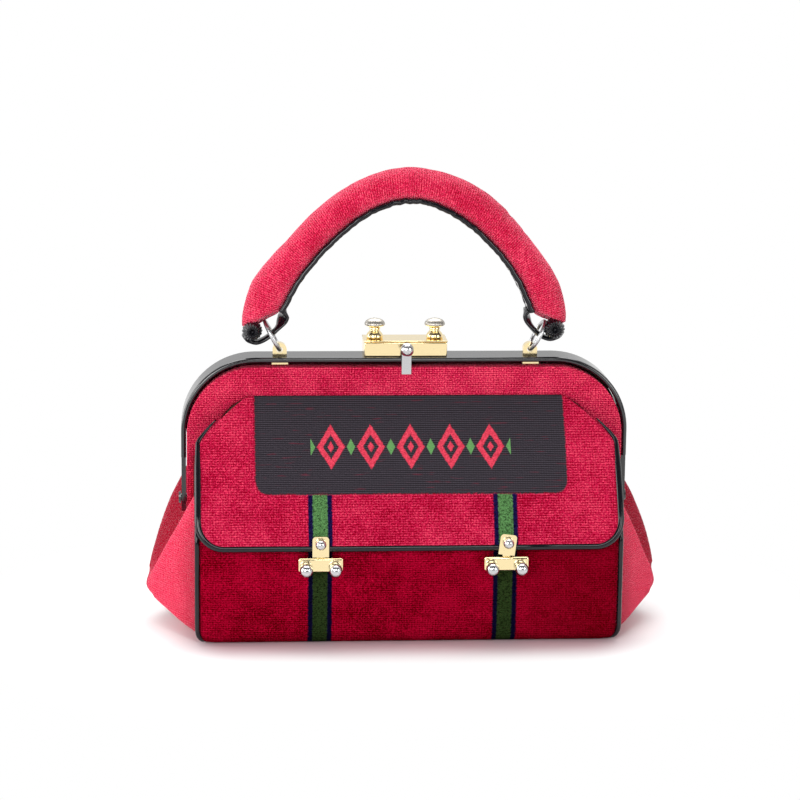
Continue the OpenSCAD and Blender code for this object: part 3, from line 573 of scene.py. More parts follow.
def pile(finish, light, deep, rib=None, contrast=1.0):
    """Velvet colour and height: brushed patches over a fine ribbed and flecked ground."""
    broad = finish.between(finish.cloud(17, 3, 0.6), 0.38, 0.62)
    patch = finish.between(finish.cloud(70, 3, 0.65), 0.34, 0.68)
    fleck = finish.between(finish.cloud(1150, 2, 0.7), 0.39, 0.61)
    rib = rib or finish.ribs(1.3, "Z", wobble=1.0)
    column = finish.ribs(1.5, "X", wobble=2.0)
    worn = finish.math("MULTIPLY_ADD", patch, 0.16 * contrast, finish.math("MULTIPLY", broad, 0.14 * contrast))
    worn = finish.math("ADD", worn, finish.math("MULTIPLY_ADD", fleck, 0.50, -0.20))
    worn = finish.math("MULTIPLY_ADD", column, 0.16, worn)
    worn = finish.math("MULTIPLY_ADD", rib, 0.40, worn, clamp=True)
    mid = (0.62 * light[0] + 0.2 * deep[0], 0.16 * light[1], 0.48 * light[2])
    shade = finish.mix(finish.between(worn, 0.0, 0.62), deep, mid)
    shade = finish.mix(finish.between(worn, 0.5, 1.0), shade, light)
    height = finish.math("MULTIPLY_ADD", fleck, 0.8, finish.math("MULTIPLY", patch, 0.4))
    return shade, finish.math("MULTIPLY_ADD", rib, 0.6, height)


def pile_surface(finish, sheen):
    finish.set(Roughness=0.9, Specular_IOR_Level=0.0)
    finish.set(Sheen_Weight=sheen, Sheen_Roughness=0.38, Sheen_Tint=(1.0, 0.50, 0.58))


def velvet_finish(name, light, deep, sheen=0.3, contrast=1.0, rays=False, painted_fold_shade=False):
    finish = Finish(name)
    rib = finish.rays(168, 88, 1.3) if rays else None
    shade, height = pile(finish, light, deep, rib, contrast)
    if painted_fold_shade:
        # Painted shade: the gusset colour is pulled towards velvet_deep near the front seam and over the rear half of
        # the fold, where shade falls.
        y = finish.axes()[1]
        seam = finish.between(y, -0.056, -0.028, 0.7, 0.0)
        behind = finish.between(y, -0.013, 0.012, 0.0, 0.92)
        shade = finish.mix(finish.math("MAXIMUM", seam, behind), shade, tint("velvet_deep"))
    finish.colour(shade)
    pile_surface(finish, sheen)
    finish.bump(height, 0.5, 0.8)
    return finish.material


def stripe_masks(finish, axes):
    """Shares of the whole stripe and of its green middle, at both sides of the bag."""
    ragged = finish.math("MULTIPLY_ADD", finish.cloud(900, 2), 0.0012, -0.0006)
    across = finish.math("ABSOLUTE", finish.math("SUBTRACT", axes[0], DESIGN_X * MM))
    off = finish.math("ABSOLUTE", finish.math("SUBTRACT", across, STRIPE_X * MM))
    off = finish.math("ADD", off, ragged)
    whole = finish.between(off, 0.0064, 0.0073, 1.0, 0.0)
    middle = finish.between(off, 0.0038, 0.0046, 1.0, 0.0)
    return whole, middle


def striped(finish, shade, axes, green, navy, limit=None):
    whole, middle = stripe_masks(finish, axes)
    if limit is not None:
        whole = finish.math("MULTIPLY", whole, limit)
        middle = finish.math("MULTIPLY", middle, limit)
    grain = finish.cloud(950, 2, 0.7)
    band = finish.mix(middle, navy, green)
    band = finish.mix(finish.between(grain, 0.42, 0.68, 0.1, 0.75), band, (0.0, 0.0, 0.0))
    return finish.mix(whole, shade, band)


def panel_finish():
    """Lower panel: deeper velvet with the two stripes running round it, and painted shade darkening its right side."""
    finish = Finish("panel_velvet")
    shade, height = pile(finish, tint("panel_light"), tint("panel_deep"), contrast=1.15)
    axes = finish.axes()
    dark_navy = tuple(0.35 * c for c in tint("navy"))
    # Painted shade: the colour is pulled up to halfway towards panel_deep from the middle to the right side, away from
    # the key light.
    shaded = finish.between(axes[0], 0.0, 0.115, 0.0, 0.5)
    shade = finish.mix(shaded, shade, tint("panel_deep"))
    shade = striped(finish, shade, axes, tint("panel_green"), dark_navy)
    finish.colour(shade)
    pile_surface(finish, 0.0)
    finish.bump(height, 0.5, 0.7)
    return finish.material


def flap_finish():
    """Flap: velvet with the flat woven field, a row of plain lozenges and the two stripes."""
    finish = Finish("flap_velvet")
    shade, height = pile(finish, tint("flap_light"), tint("flap_deep"))
    axes = finish.axes()
    fuzz = finish.math("MULTIPLY_ADD", finish.cloud(650, 2, 0.6), 0.0016, -0.0008)

    across = finish.math("ABSOLUTE", finish.math("SUBTRACT", axes[0], DESIGN_X * MM))
    across = finish.math("SUBTRACT", across, (FIELD_W - FIELD_R) * MM)
    below = finish.math("SUBTRACT", (FIELD_BOTTOM + FIELD_R) * MM, axes[2])
    across_out = finish.math("MAXIMUM", across, 0.0)
    below_out = finish.math("MAXIMUM", below, 0.0)
    square = finish.math("MULTIPLY_ADD", across_out, across_out, finish.math("MULTIPLY", below_out, below_out))
    outside = finish.math("ADD", finish.math("SQRT", square), fuzz)
    field = finish.between(outside, (FIELD_R - 0.5) * MM, (FIELD_R + 0.5) * MM, 1.0, 0.0)
    under_field = finish.math("SUBTRACT", 1.0, field)

    weave = finish.ribs(0.95, "Z", wobble=0.6)
    warp = finish.ribs(1.4, "X", wobble=0.8)
    thread = finish.between(finish.cloud(380, 2, 0.5, stretch=(0.25, 1.0, 2.2)), 0.62, 0.74)
    ground = finish.mix(weave, tuple(0.3 * c for c in tint("charcoal")), tuple(1.8 * c for c in tint("charcoal")))
    ground = finish.mix(finish.math("MULTIPLY", warp, 0.25), ground, (0.012, 0.011, 0.014))
    ground = finish.mix(finish.math("MULTIPLY", thread, 0.35), ground, (0.16, 0.012, 0.03))

    shade = striped(finish, shade, axes, tint("green"), tint("navy"), under_field)

    motif, accent = lozenge_row(finish, axes)
    ground = finish.mix(accent, ground, tint("green"))
    worked = finish.mix(finish.cloud(900, 2), tint("velvet_deep"), tint("velvet_light"))
    ground = finish.mix(motif, ground, worked)

    finish.colour(finish.mix(field, shade, ground))
    pile_surface(finish, 0.03)
    raised = finish.math("ADD", finish.math("MULTIPLY", weave, 0.25), motif)
    finish.bump(finish.mix(field, height, raised), 0.5, 0.8)
    return finish.material


def lozenge_row(finish, axes):
    """Shares of a row of outlined lozenges and of the small diamonds between them."""
    pitch, middle_z, half_w, half_h = 23.0 * MM, 111.0 * MM, 8.2 * MM, 11.5 * MM
    fuzz = finish.math("MULTIPLY_ADD", finish.cloud(700, 2), 0.16, -0.08)
    along = finish.math("SUBTRACT", axes[0], DESIGN_X * MM)
    inside = finish.between(finish.math("ABSOLUTE", along), 57.5 * MM, 57.9 * MM, 1.0, 0.0)

    def diamond(shift, w, h):
        cell = finish.math("ADD", along, (shift + 10.5) * pitch)
        off = finish.math("ABSOLUTE", finish.math("SUBTRACT", finish.math("MODULO", cell, pitch), pitch / 2))
        rise = finish.math("ABSOLUTE", finish.math("SUBTRACT", axes[2], middle_z))
        total = finish.math("ADD", finish.math("DIVIDE", off, w), finish.math("DIVIDE", rise, h))
        return finish.math("ADD", total, fuzz)

    whole = diamond(0.0, half_w, half_h)
    edge = finish.between(whole, 0.94, 1.04, 1.0, 0.0)
    ring = finish.math("MULTIPLY", edge, finish.between(whole, 0.5, 0.6))
    seed = finish.between(whole, 0.2, 0.28, 1.0, 0.0)
    motif = finish.math("MULTIPLY", finish.math("MAXIMUM", ring, seed), inside)
    small = finish.between(diamond(0.5, 0.3 * half_w, 0.36 * half_h), 0.92, 1.08, 1.0, 0.0)
    return motif, finish.math("MULTIPLY", small, inside)


def patent_finish(name, rough, shine, scuffs):
    finish = Finish(name, rough)
    grain = finish.cloud(420, 3, 0.6)
    scuff = finish.between(finish.cloud(60, 4, 0.7), 0.5, 0.8)
    finish.colour(finish.mix(finish.math("MULTIPLY", scuff, scuffs), tint("patent"), (0.03, 0.027, 0.03)))
    finish.roughness(finish.math("MULTIPLY_ADD", grain, 0.06, finish.math("MULTIPLY_ADD", scuff, 0.06, rough - 0.03)))
    finish.set(Specular_IOR_Level=shine)
    finish.bump(grain, 0.06, 0.25)
    return finish.material


def metal_finish(name, colour_name, rough, spots=0.3):
    finish = Finish(name, rough, 1.0)
    rub = finish.cloud(180, 4, 0.65)
    spot = finish.between(finish.cloud(900, 3, 0.6), 0.62, 0.8)
    base = tint(colour_name)
    worn = finish.mix(finish.math("MULTIPLY", spot, spots), base, tuple(0.45 * c for c in base))
    finish.colour(worn)
    finish.roughness(finish.math("MULTIPLY_ADD", rub, 0.16, rough - 0.06))
    finish.bump(finish.cloud(1400, 2), 0.02, 0.25)
    return finish.material


def lining_finish():
    finish = Finish("lining_cloth", 0.85)
    across, along = finish.ribs(0.9, "X", wobble=0.5), finish.ribs(0.9, "Z", wobble=0.5)
    weave = finish.math("MULTIPLY_ADD", across, 0.5, finish.math("MULTIPLY", along, 0.5))
    base = tint("lining")
    shade = finish.mix(weave, tuple(0.6 * c for c in base), tuple(1.3 * c for c in base))
    finish.colour(finish.mix(finish.between(finish.cloud(40, 3), 0.4, 0.7), shade, tuple(0.8 * c for c in base)))
    finish.set(Sheen_Weight=0.2, Sheen_Roughness=0.5)
    finish.bump(weave, 0.2, 0.5)
    return finish.material


finishes = {}


class HANDBAG_OT_finishes(bpy.types.Operator):
    """Makes the materials and puts them on the solids that stay in view."""

    bl_idname = "handbag.finishes"
    bl_label = "Materials"

    def execute(self, context):
        light, deep = tint("velvet_light"), tint("velvet_deep")
        gusset_deep, grip_deep = tuple(2.3 * c for c in deep), tuple(1.5 * c for c in deep)
        finishes.update(
            velvet=velvet_finish("velvet", light, deep),
            band=velvet_finish("band_velvet", light, deep, 0.15),
            gusset=velvet_finish("gusset_velvet", light, gusset_deep, 0.42, 0.7, painted_fold_shade=True),
            # Dark velvet without sheen for the flap's edge walls: painted shade along the flap's edges.
            edge=velvet_finish("edge_velvet", tint("flap_deep"), tint("panel_deep"), 0.0),
            grip=velvet_finish("grip_velvet", light, grip_deep, 0.65, rays=True),
            panel=panel_finish(),
            flap=flap_finish(),
            patent=patent_finish("patent_leather", 0.07, 0.42, 0.15),
            rim=patent_finish("rim_leather", 0.13, 0.9, 0.4),
            trim=patent_finish("loop_leather", 0.14, 0.5, 0.1),
            gilt=metal_finish("gilt_brass", "gilt", 0.12, 0.2),
            nickel=metal_finish("bright_nickel", "nickel", 0.18),
            ring=metal_finish("ring_nickel", "nickel", 0.34),
            worn=metal_finish("worn_plating", "worn_plating", 0.36, 0.8),
            lining=lining_finish(),
        )
        by_slot = {"patent_leather": "rim", "gilt_brass": "gilt"}
        by_node = {"hinge_pins": "rim", "ring_left": "ring", "ring_right": "ring"}
        for row in frame["record"]["subparts"]:
            node, slot = row["node"], row["material_slot"]
            mesh = nodes[node].data
            mesh.materials.clear()
            mesh.materials.append(finishes[by_node.get(node, by_slot.get(slot, slot))])
        return {"FINISHED"}


class HANDBAG_OT_lower_panel(bpy.types.Operator):
    """Lower panel: pocket front, base and the foot of the back in one sheet."""

    bl_idname = "handbag.lower_panel"
    bl_label = "Lower panel"

    def execute(self, context):
        front = [(pocket_y(z), z) for z in steps(POCKET_TOP, BASE_R, 24)]
        bend = arc(BASE_R - BASE_D, BASE_R, BASE_R, 180, 270, 8)
        back = arc(BASE_D - BASE_R, BASE_R, BASE_R, 270, 360, 8) + [(BASE_D, BACK_FOOT)]
        rows = 120
        line, run = resampled(front + bend[1:] + back, rows)
        half_w = PANEL_W - 0.5
        ripple = size("pile_ripple")

        def place(u, v):
            y, z = line[round(v * rows)]
            width = half_w - corner_inset(z)
            x = width * (2 * u - 1)
            pinch = math.exp(-(((width - abs(x)) / 4.0) ** 2))
            inward = 1.3 * pinch + ripple * soft(x, y, z, 0.022, 3.0) * (1 - pinch)
            y -= math.copysign(inward, y) * min(1.0, abs(y) / 40)
            lift = 0.25 * (1 + soft(x, y, z, 0.03, 7.0)) if z < 0.5 else 0.0
            return x, y, max(0.0, z + lift * pinch)

        bm = sheet_mesh(96, rows, place, (2 * half_w, run))
        face_towards(bm, (0, 0, 40))
        obj = piece("lower_panel", bm, ("panel", "lining"), BODY, "body_panel")
        thicken(obj, size("cloth_wall"), lined=True)
        return {"FINISHED"}


class HANDBAG_OT_back_panel(bpy.types.Operator):
    """Back panel: leans in to the rear frame."""

    bl_idname = "handbag.back_panel"
    bl_label = "Back panel"

    def execute(self, context):
        rows = 90
        line, run = resampled([(rear_y(z), z) for z in steps(BACK_FOOT, 155.6, 80)], rows)
        ripple = size("pile_ripple")

        def half_w(z):
            return arched(z, PANEL_W - 0.5 + 7.6 * ease((z - 92) / 22), 115.5, 40.2)

        def place(u, v):
            y, z = line[round(v * rows)]
            x = half_w(z) * (2 * u - 1)
            free = ease((half_w(z) - abs(x)) / 18) * ease((z - BACK_FOOT) / 10) * ease((118 - z) / 16)
            sag = 2.4 * (0.6 * soft(x, 0, z, 0.018, 11.0) + 0.4) + 0.8 * ripple * soft(x, y, z, 0.05, 5.0)
            return x, y + sag * free, z

        bm = sheet_mesh(96, rows, place, (2 * PANEL_W, run))
        face_towards(bm, (0, -100, 60))
        obj = piece("back_panel", bm, ("panel", "lining"), None, "rear_wall")
        thicken(obj, size("cloth_wall"), lined=True)
        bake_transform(obj)
        return {"FINISHED"}


class HANDBAG_OT_gussets(bpy.types.Operator):
    """Folded gussets: two soft ridges run from the frame legs down to one outermost point."""

    bl_idname = "handbag.gussets"
    bl_label = "Gussets"

    def execute(self, context):
        crease = size("gusset_crease")
        for name, side, front_bow, rear_bow in (("left", -1, 0.5, 3.6), ("right", 1, -0.5, 8.0)):

            def place(u, v):
                z = GUSSET_FOOT + (GUSSET_TOP - GUSSET_FOOT) * v
                s = 2 * u - 1
                y = -s * gusset_front_y(z) if s < 0 else s * gusset_rear_y(z)
                free = ease((1 - abs(s)) / 0.25) * ease((z - GUSSET_FOOT) / 10) * ease((GUSSET_TOP - z) / 12)
                ripple = soft(side * 120, 1.4 * y, 0.7 * z, 0.045, 2.0 + side) + 0.5 * soft(0, y, z, 0.11, 9.0 - side)
                x = PANEL_W - corner_inset(z) + fold_x(z, s, front_bow, rear_bow) + crease * free * ripple
                return side * x, y, z

            bm = sheet_mesh(56, 64, place, (150.0, 110.0))
            inner = [v for v in bm.verts if not v.is_boundary]
            relax(bm, inner, 6)
            tip = Vector((side * (PANEL_W + TIP_REACH), 0, TIP_Z)) * MM
            relax(bm, [v for v in inner if (v.co - tip).length < 14 * MM], 14)
            face_towards(bm, (0, 0, 40))
            obj = piece(f"gusset_cloth_{name}", bm, ("gusset", "lining"), None, f"gusset_{name}")
            thicken(obj, 0.8 * size("cloth_wall"), lined=True)
            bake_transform(obj)
        return {"FINISHED"}


class HANDBAG_OT_front_jaw(bpy.types.Operator):
    """Front jaw: the velvet band on the front frame, with its legs and the lining behind it."""

    bl_idname = "handbag.front_jaw"
    bl_label = "Front jaw"

    def execute(self, context):
        section = [(0, 2), (4, 2), (4, -10), (18, -10), (18, FRAME_FRONT), (0, FRAME_FRONT)]
        bm = arch_sweep(section, JAW_W, JAW_TOP, JAW_R, FLANGE_BOTTOM, 18)
        rounded(bm, 1.1, 3, 50)
        piece("jaw_band", bm, ("band",), BODY, "front_frame")
        for name, side in SIDES:
            outline = [(FRAME_FRONT, 103), (2, 103), (2, 100), *arc(*HINGE, 8, 0, -180, 16), (FRAME_FRONT, 100)]
            bm = bmesh.new()
            face = bm.faces.new([bm.verts.new(Vector((side * (JAW_W - 4.0), y, z)) * MM) for y, z in outline])
            made = bmesh.ops.extrude_face_region(bm, geom=[face])["geom"]
            moved = [g for g in made if isinstance(g, bmesh.types.BMVert)]
            bmesh.ops.translate(bm, verts=moved, vec=(side * 4.0 * MM, 0, 0))
            closed_normals(bm)
            rounded(bm, 0.8, 2, 40)
            piece(f"jaw_leg_{name}", bm, ("band",), BODY, "front_frame")
        self.lining()
        return {"FINISHED"}

    def lining(self):
        def half_w(z):
            return arched(z, 117.5 + 5.0 * ease((z - 96) / 8), 113.6, 35.0)

        rows = 80
        line, run = resampled([(gusset_front_y(max(z, BASE_R)) + 3.6, z) for z in steps(3.6, 148.6, 70)], rows)

        def place(u, v):
            y, z = line[round(v * rows)]
            x = half_w(z) * (2 * u - 1)
            free = ease((half_w(z) - abs(x)) / 20) * ease((z - 4) / 12) * ease((100 - z) / 10)
            return x, y + 1.2 * free * (soft(x, y, z, 0.03, 21.0) + 0.6), z

        bm = sheet_mesh(72, rows, place, (240.0, run))
        face_towards(bm, (0, 100, 80), away=False)
        obj = piece("front_lining", bm, ("lining",), BODY, "front_wall")
        thicken(obj, 2.0)


class HANDBAG_OT_flap(bpy.types.Operator):
    """Flap: a hanging velvet sheet with sloping shoulders, a sunk woven field and piping round it."""

    bl_idname = "handbag.flap"
    bl_label = "Flap"

    def execute(self, context):
        heights = [FLAP_BOTTOM + FLAP_CORNER * (1 - math.cos(math.radians(a))) for a in range(0, 90, 6)]
        straight = FLAP_TOP - SHOULDER_H - FLAP_BOTTOM - FLAP_CORNER
        heights += [FLAP_BOTTOM + FLAP_CORNER + straight * i / 46 for i in range(46)]
        heights += [FLAP_TOP - SHOULDER_H * (1 - i / 24) for i in range(25)]
        rows = len(heights) - 1
        depth = size("field_depth")
        ripple = size("pile_ripple")

        def sunk(x, z):
            across = max(0.0, abs(x - DESIGN_X) - (FIELD_W - FIELD_R))
            below = max(0.0, FIELD_BOTTOM + FIELD_R - z)
            return ease((FIELD_R + 0.7 - math.hypot(across, below)) / 1.6)

        def place(u, v):
            z = heights[round(v * rows)]
            x = flap_half_w(z) * (2 * u - 1)
            free = ease((FLAP_TOP - z) / 30)
            swell = free * (0.9 * soft(x, 0, z, 0.016, 4.0) + ripple * 0.5 * soft(x, 0, z, 0.06, 8.0))
            return x, flap_y(z) + depth * sunk(x, z) + swell, z

        bm = sheet_mesh(168, rows, place, (2 * FLAP_W, 94.0))
        face_towards(bm, (0, 100, 60))
        obj = piece("flap_sheet", bm, ("flap", "edge"), BODY, "flap")
        # rim=1 gives the flap's edge walls the dark edge velvet, which is painted shade.
        thicken(obj, size("flap_wall"), lined=True, rim=1)
        self.piping(place, rows, heights)
        return {"FINISHED"}

    def piping(self, place, rows, heights):
        r = size("flap_piping")
        out = r * 0.8
        side = [i for i, z in enumerate(heights) if z < FLAP_TOP - 0.52 * SHOULDER_H]
        left = [Vector(place(0.0, i / rows)) for i in reversed(side)]
        right = [Vector(place(1.0, i / rows)) for i in side]
        low = [Vector(place(0.02 + 0.96 * i / 40, 0.0)) for i in range(41)]
        line = left[:-1] + low + right[1:]
        mid = Vector((0, 0, 100))
        moved = []
        for i, p in enumerate(line):
            d = (line[min(i + 1, len(line) - 1)] - line[max(i - 1, 0)]).normalized()
            away = d.cross(Vector((0, 1, 0)))
            if away.dot(p - mid) < 0:
                away = -away
            moved.append(p + out * away + Vector((0, 1.4, 0)))
        count = 150
        even, _ = resampled(moved, count)
        radii = [r * min(1.0, 0.2 + 0.06 * min(i, count - i)) for i in range(count + 1)]
        bm = tube_mesh(even, r, 12, radii)
        piece("flap_cord", bm, ("patent",), BODY, "flap_piping")


class HANDBAG_OT_seam_piping(bpy.types.Operator):
    """Piping round each side seam: down the front, under the base and up the back."""

    bl_idname = "handbag.seam_piping"
    bl_label = "Seam piping"

    def execute(self, context):
        r = size("seam_piping")
        out = r + 0.1
        mid_r = BASE_R - 1.25
        low = r + 0.2
        front = GUSSET_D + out
        corner = front - mid_r
        for name, side in SIDES:
            x = side * (PANEL_W + out)
            line = [(x, gusset_front_y(z) - out, z) for z in steps(84, 13, 20)]
            line += [(x, y, z) for y, z in arc(-corner, low + mid_r, mid_r, 180, 270, 8)]
            line += [(x, y, z) for y, z in arc(corner, low + mid_r, mid_r, 270, 360, 8)]
            line += [(x, front, 30.0), (x, front, 49.0)]
            even, _ = resampled([(px - side * corner_inset(pz - low), py, pz) for px, py, pz in line], 120)
            bm = tube_mesh(even, r, 10)
            piece(f"seam_cord_{name}", bm, ("patent",), BODY, f"seam_piping_{name}")
        return {"FINISHED"}


def grip_mid(t):
    end = Vector((RING_MID[0] + 8.8, RING_MID[1] + 0.45))
    p0, p1 = Vector((0, CROWN_Z)), Vector((0.42 * end.x, CROWN_Z))
    p2 = end - 0.5 * end.x * GRIP_LEAN
    a = abs(t)
    p = (1 - a) ** 3 * p0 + 3 * (1 - a) ** 2 * a * p1 + 3 * (1 - a) * a * a * p2 + a**3 * end
    return Vector((math.copysign(p.x, t) if t else 0.0, HANDLE_Y, p.y))


def grip_frame(t):
    """Middle of the grip, the way along it and the way out from the arch; the soft arch leans a little to the right."""
    along = (grip_mid(min(t + 0.004, 1.0)) - grip_mid(max(t - 0.004, -1.0))).normalized()
    lean = Vector((1.9 * ease((1 - abs(t)) / 0.5), 0, 0))
    return grip_mid(t) + lean, along, along.cross(Vector((0, 1, 0)))


def grip_outer(t):
    """Half thickness of the padding on the outside of the arch, fuller at the ends and one shoulder."""
    end = (4.2 if t < 0 else 2.7) * ease((abs(t) - 0.55) / 0.31)
    return GRIP_R + end + 1.6 * math.exp(-(((t - 0.34) / 0.16) ** 2))


def grip_inner(t):
    """Distance from the middle of the grip to its underside."""
    return GRIP_FLAT + 0.5 * ease((abs(t) - 0.2) / 0.25)


def to_cut(p, along, extra):
    """Slides a point along the grip to the sloping cut above the ring, or further by extra."""
    normal = Vector((END_SLOPE, 1)).normalized()
    way = (Vector((abs(along.x), -abs(along.z))) + GRIP_LEAN).normalized()
    above = (Vector((abs(p.x), p.z)) - RING_CROWN).dot(normal) - 1.5
    slide = max(0.0, above / -way.dot(normal) + extra)
    return p + Vector((math.copysign(way.x, p.x), 0, way.y)) * slide


class HANDBAG_OT_handle(bpy.types.Operator):
    """Handle: padded velvet grip, black underside, piping along both edges and a leather loop at each end."""

    bl_idname = "handbag.handle"
    bl_label = "Handle"

    def execute(self, context):
        def grip(u, v):
            t = GRIP_END * (2 * v - 1)
            mid, along, out = grip_frame(t)
            a = 2 * math.pi * u - math.pi
            crease = math.exp(-(((t - 0.47 - 0.012 * math.sin(a)) / 0.012) ** 2))
            crease += 0.7 * math.exp(-(((t - 0.56) / 0.012) ** 2))
            swell = 1.0 + 0.025 * soft(60 * v, 3 * math.cos(a), 3 * math.sin(a), 0.5, 13.0) - 0.05 * crease
            up = (grip_outer(t) if math.cos(a) > 0 else grip_inner(t) + 1.6) * swell * math.cos(a)
            up = max(-grip_inner(t), up)
            pleat = 0.3 * max(0.0, -math.cos(a)) * soft(140 * v, 0, 4 * math.sin(a), 0.9, 17.0)
            across = GRIP_W * swell * math.sin(a)
            end = 1 - abs(2 * v - 1)
            share = max(0.0, 1 - end / 0.07)
            shrink = 1 - 0.6 * (1 - math.sqrt(max(0.0, 1 - share**2)))
            p = mid + out * (up + pleat) * shrink + Vector((0, across * shrink, 0))
            if share:
                outer = max(0.0, math.cos(a))
                extra = (2.6 if t < 0 else 0.0) * outer - 4.0 * max(0.0, -math.sin(a)) * (1 - 0.6 * outer)
                reach = math.sin(share * math.pi / 2)
                return p.lerp(to_cut(p, along, extra), reach + (share**1.3 - reach) * outer)
            return p

        bm = sheet_mesh(44, GRIP_ROWS, grip, (66.0, 260.0), closed=True)
        cap_ends(bm)
        obj = piece("grip_pad", bm, ("grip",), HANDLE, "handle_grip")

        def strip(u, v):
            t = GRIP_END * (2 * v - 1)
            mid, _, out = grip_frame(t)
            s = 2 * u - 1
            wrinkle = 1.2 * max(0.0, soft(150 * v, 0.6 * s, 0, 0.55, 5.0)) + 0.3 * soft(150 * v, s, 0, 1.6, 2.0)
            drop = grip_inner(t) + 1.2 + (0.4 + wrinkle) * (1 - s * s)
            return mid - out * drop + Vector((0, 8.6 * s, 0))

        bm = sheet_mesh(12, GRIP_ROWS, strip, (17.0, 240.0))
        face_towards(bm, (0, HANDLE_Y, 190), away=False)
        obj = piece("grip_underside", bm, ("patent",), HANDLE, "handle_strip")
        thicken(obj, 1.6)

        r = size("grip_piping")
        for name, side in (("front", -1), ("rear", 1)):
            line = []
            for v in steps(0, 1, GRIP_ROWS):
                t = GRIP_END * (2 * v - 1)
                mid, _, out = grip_frame(t)
                wave = 0.55 * soft(150 * v, side, 0, 0.5, 9.0)
                line.append(mid - out * (grip_inner(t) + 0.3 + wave) + Vector((0, side * 9.2, 0)))
            bm = tube_mesh(line, r, 10)
            piece(f"grip_cord_{name}", bm, ("patent",), HANDLE, f"handle_piping_{name}")
        for name, side, slip in (("left", -1, (2.4, -2.2, 2.6)), ("right", 1, (0.4, -0.4, 1.8))):
            self.loop(name, side, slip)
        self.bunch("left", -1, (89.0, 173.9), 5.8)
        self.bunch("right", 1, (86.4, 175.0), 6.2)
        return {"FINISHED"}

    def loop(self, name, side, slip):
        """Stout leather band from the underside, round below the ring, to the outside of the grip."""
        shares = [(-0.86, 1.75), (-0.88, 1.17), (-0.58, 0.52), (0.05, -0.1), (0.74, -0.34), (1.36, -0.14), (1.66, 0.3)]
        points = []
        for a, b in through(shares, 6):
            far = ease((a + 0.9) / 1.8)
            points.append((RING_MID[0] + RING_R * a + slip[0] * far, 0, RING_MID[1] + RING_R * b + slip[1] * far))
        line, run = resampled(points, 48)
        count = len(line) - 1

        def band(u, v):
            i = round(v * count)
            along = (line[min(i + 1, count)] - line[max(i - 1, 0)]).normalized()
            out = along.cross(Vector((0, 1, 0)))
            a = 2 * math.pi * u
            fold = 1 + 0.03 * math.sin(5 * a + 9 * v)
            spare = 1 - ease(v / 0.24) * ease((1 - v) / 0.2)
            q = line[i] + out * 1.6 + out * (1.6 + 0.5 * spare) * fold * math.cos(a)
            lean = slip[2] * ease(v / 0.12) * (1 - ease((v - 0.18) / 0.2)) * math.sin(a)
            return side * (q.x + lean), HANDLE_Y + (4.6 + 2.2 * spare) * fold * math.sin(a), q.z

        bm = sheet_mesh(20, count, band, (11.0, run), closed=True)
        cap_ends(bm)
        piece(f"loop_{name}", bm, ("trim",), HANDLE, f"handle_end_{name}")

    def bunch(self, name, side, at, r):
        """Gathered leather in the end of the grip, pleated round its middle."""
        bm = bmesh.new()
        bmesh.ops.create_uvsphere(bm, u_segments=144, v_segments=28, radius=1.0)
        for v in bm.verts:
            around = math.atan2(v.co.y, v.co.x)
            reach = math.hypot(v.co.x, v.co.y)
            pleat = 0.11 * math.cos(18 * around + 0.6 * math.sin(3 * around)) * ease(reach / 0.4)
            dimple = 0.4 * math.exp(-((reach / 0.3) ** 2))
            wide = r * reach * (1 + 0.35 * pleat)
            deep = (7.5 * (1 - dimple) + 3.2 * pleat) * v.co.z
            v.co = Vector((wide * math.cos(around), -deep, 0.94 * wide * math.sin(around)))
        turn = Matrix.Translation((side * at[0], HANDLE_Y - 5.0, at[1])) @ Matrix.Rotation(side * 0.35, 4, "Y")
        bmesh.ops.transform(bm, matrix=Matrix.Scale(MM, 4) @ turn, verts=bm.verts[:])
        closed_normals(bm)
        piece(f"loop_bunch_{name}", bm, ("trim",), HANDLE, f"handle_end_{name}")


class HANDBAG_OT_fittings(bpy.types.Operator):
    """Metal fittings with rounded edges: clasp box and lid, knobs and flap catches."""

    bl_idname = "handbag.fittings"
    bl_label = "Fittings"

    def execute(self, context):
        self.box("clasp_case", "clasp_box", JAW, size("edge_round"))
        self.box("clasp_cover", "clasp_lid", JAW, 0.35, 2)
        for name, _ in SIDES:
            self.knob(name)
            self.box(f"catch_bar_{name}", f"catch_box_{name}", BODY, 1.1)
        return {"FINISHED"}

    def box(self, name, node, body, edge, segments=3):
        piece(name, block(*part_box(node), edge, segments), ("gilt",), body, node, shaded=True)

    def knob(self, name):
        """Flared knob on a bell foot, with a worn and finely cut head."""
        stem_r, head, worn_from = 1.5, 0.54, 0.68
        low, high = (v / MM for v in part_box(f"clasp_knob_{name}"))
        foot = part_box("clasp_lid")[1].z / MM + 0.2
        tall = high.z - foot
        shape = [(4.4, 0.0), (4.9, 0.03), (5.0, 0.08), (4.8, 0.15), (4.4, 0.22), (3.7, 0.29), (3.0, 0.36), (2.7, 0.41)]
        shape += [(3.2, 0.44), (3.3, 0.47), (2.9, 0.50), (3.2, 0.54), (4.2, 0.58), (5.4, 0.62), (5.9, 0.66)]
        shape += [(6.0, 0.70), (5.9, 0.75), (5.5, 0.82), (4.7, 0.89), (3.4, 0.95), (1.8, 0.99), (0.0, 1.0)]
        profile = [(0, low.z), (stem_r, low.z), (stem_r, foot)] + [(r, foot + tall * h) for r, h in shape]
        middle = Vector(((low.x + high.x) / 2, (low.y + high.y) / 2))
        bm = lathe(profile, (*middle, 0), 96)
        for v in bm.verts:
            rise = (v.co.z / MM - foot) / tall
            off = Vector((v.co.x, v.co.y)) / MM - middle
            if rise > head and off.length > 1.0:
                cut = 0.5 + 0.5 * math.cos(24 * math.atan2(off.y, off.x))
                v.co.x, v.co.y = (middle + off * (1 - 0.035 * cut * ease((rise - head) / 0.1))) * MM
        for face in bm.faces:
            if (face.calc_center_median().z / MM - foot) / tall > worn_from:
                face.material_index = 1
        piece(f"knob_{name}", bm, ("gilt", "worn"), f"clasp_slide_{name}", f"clasp_knob_{name}")


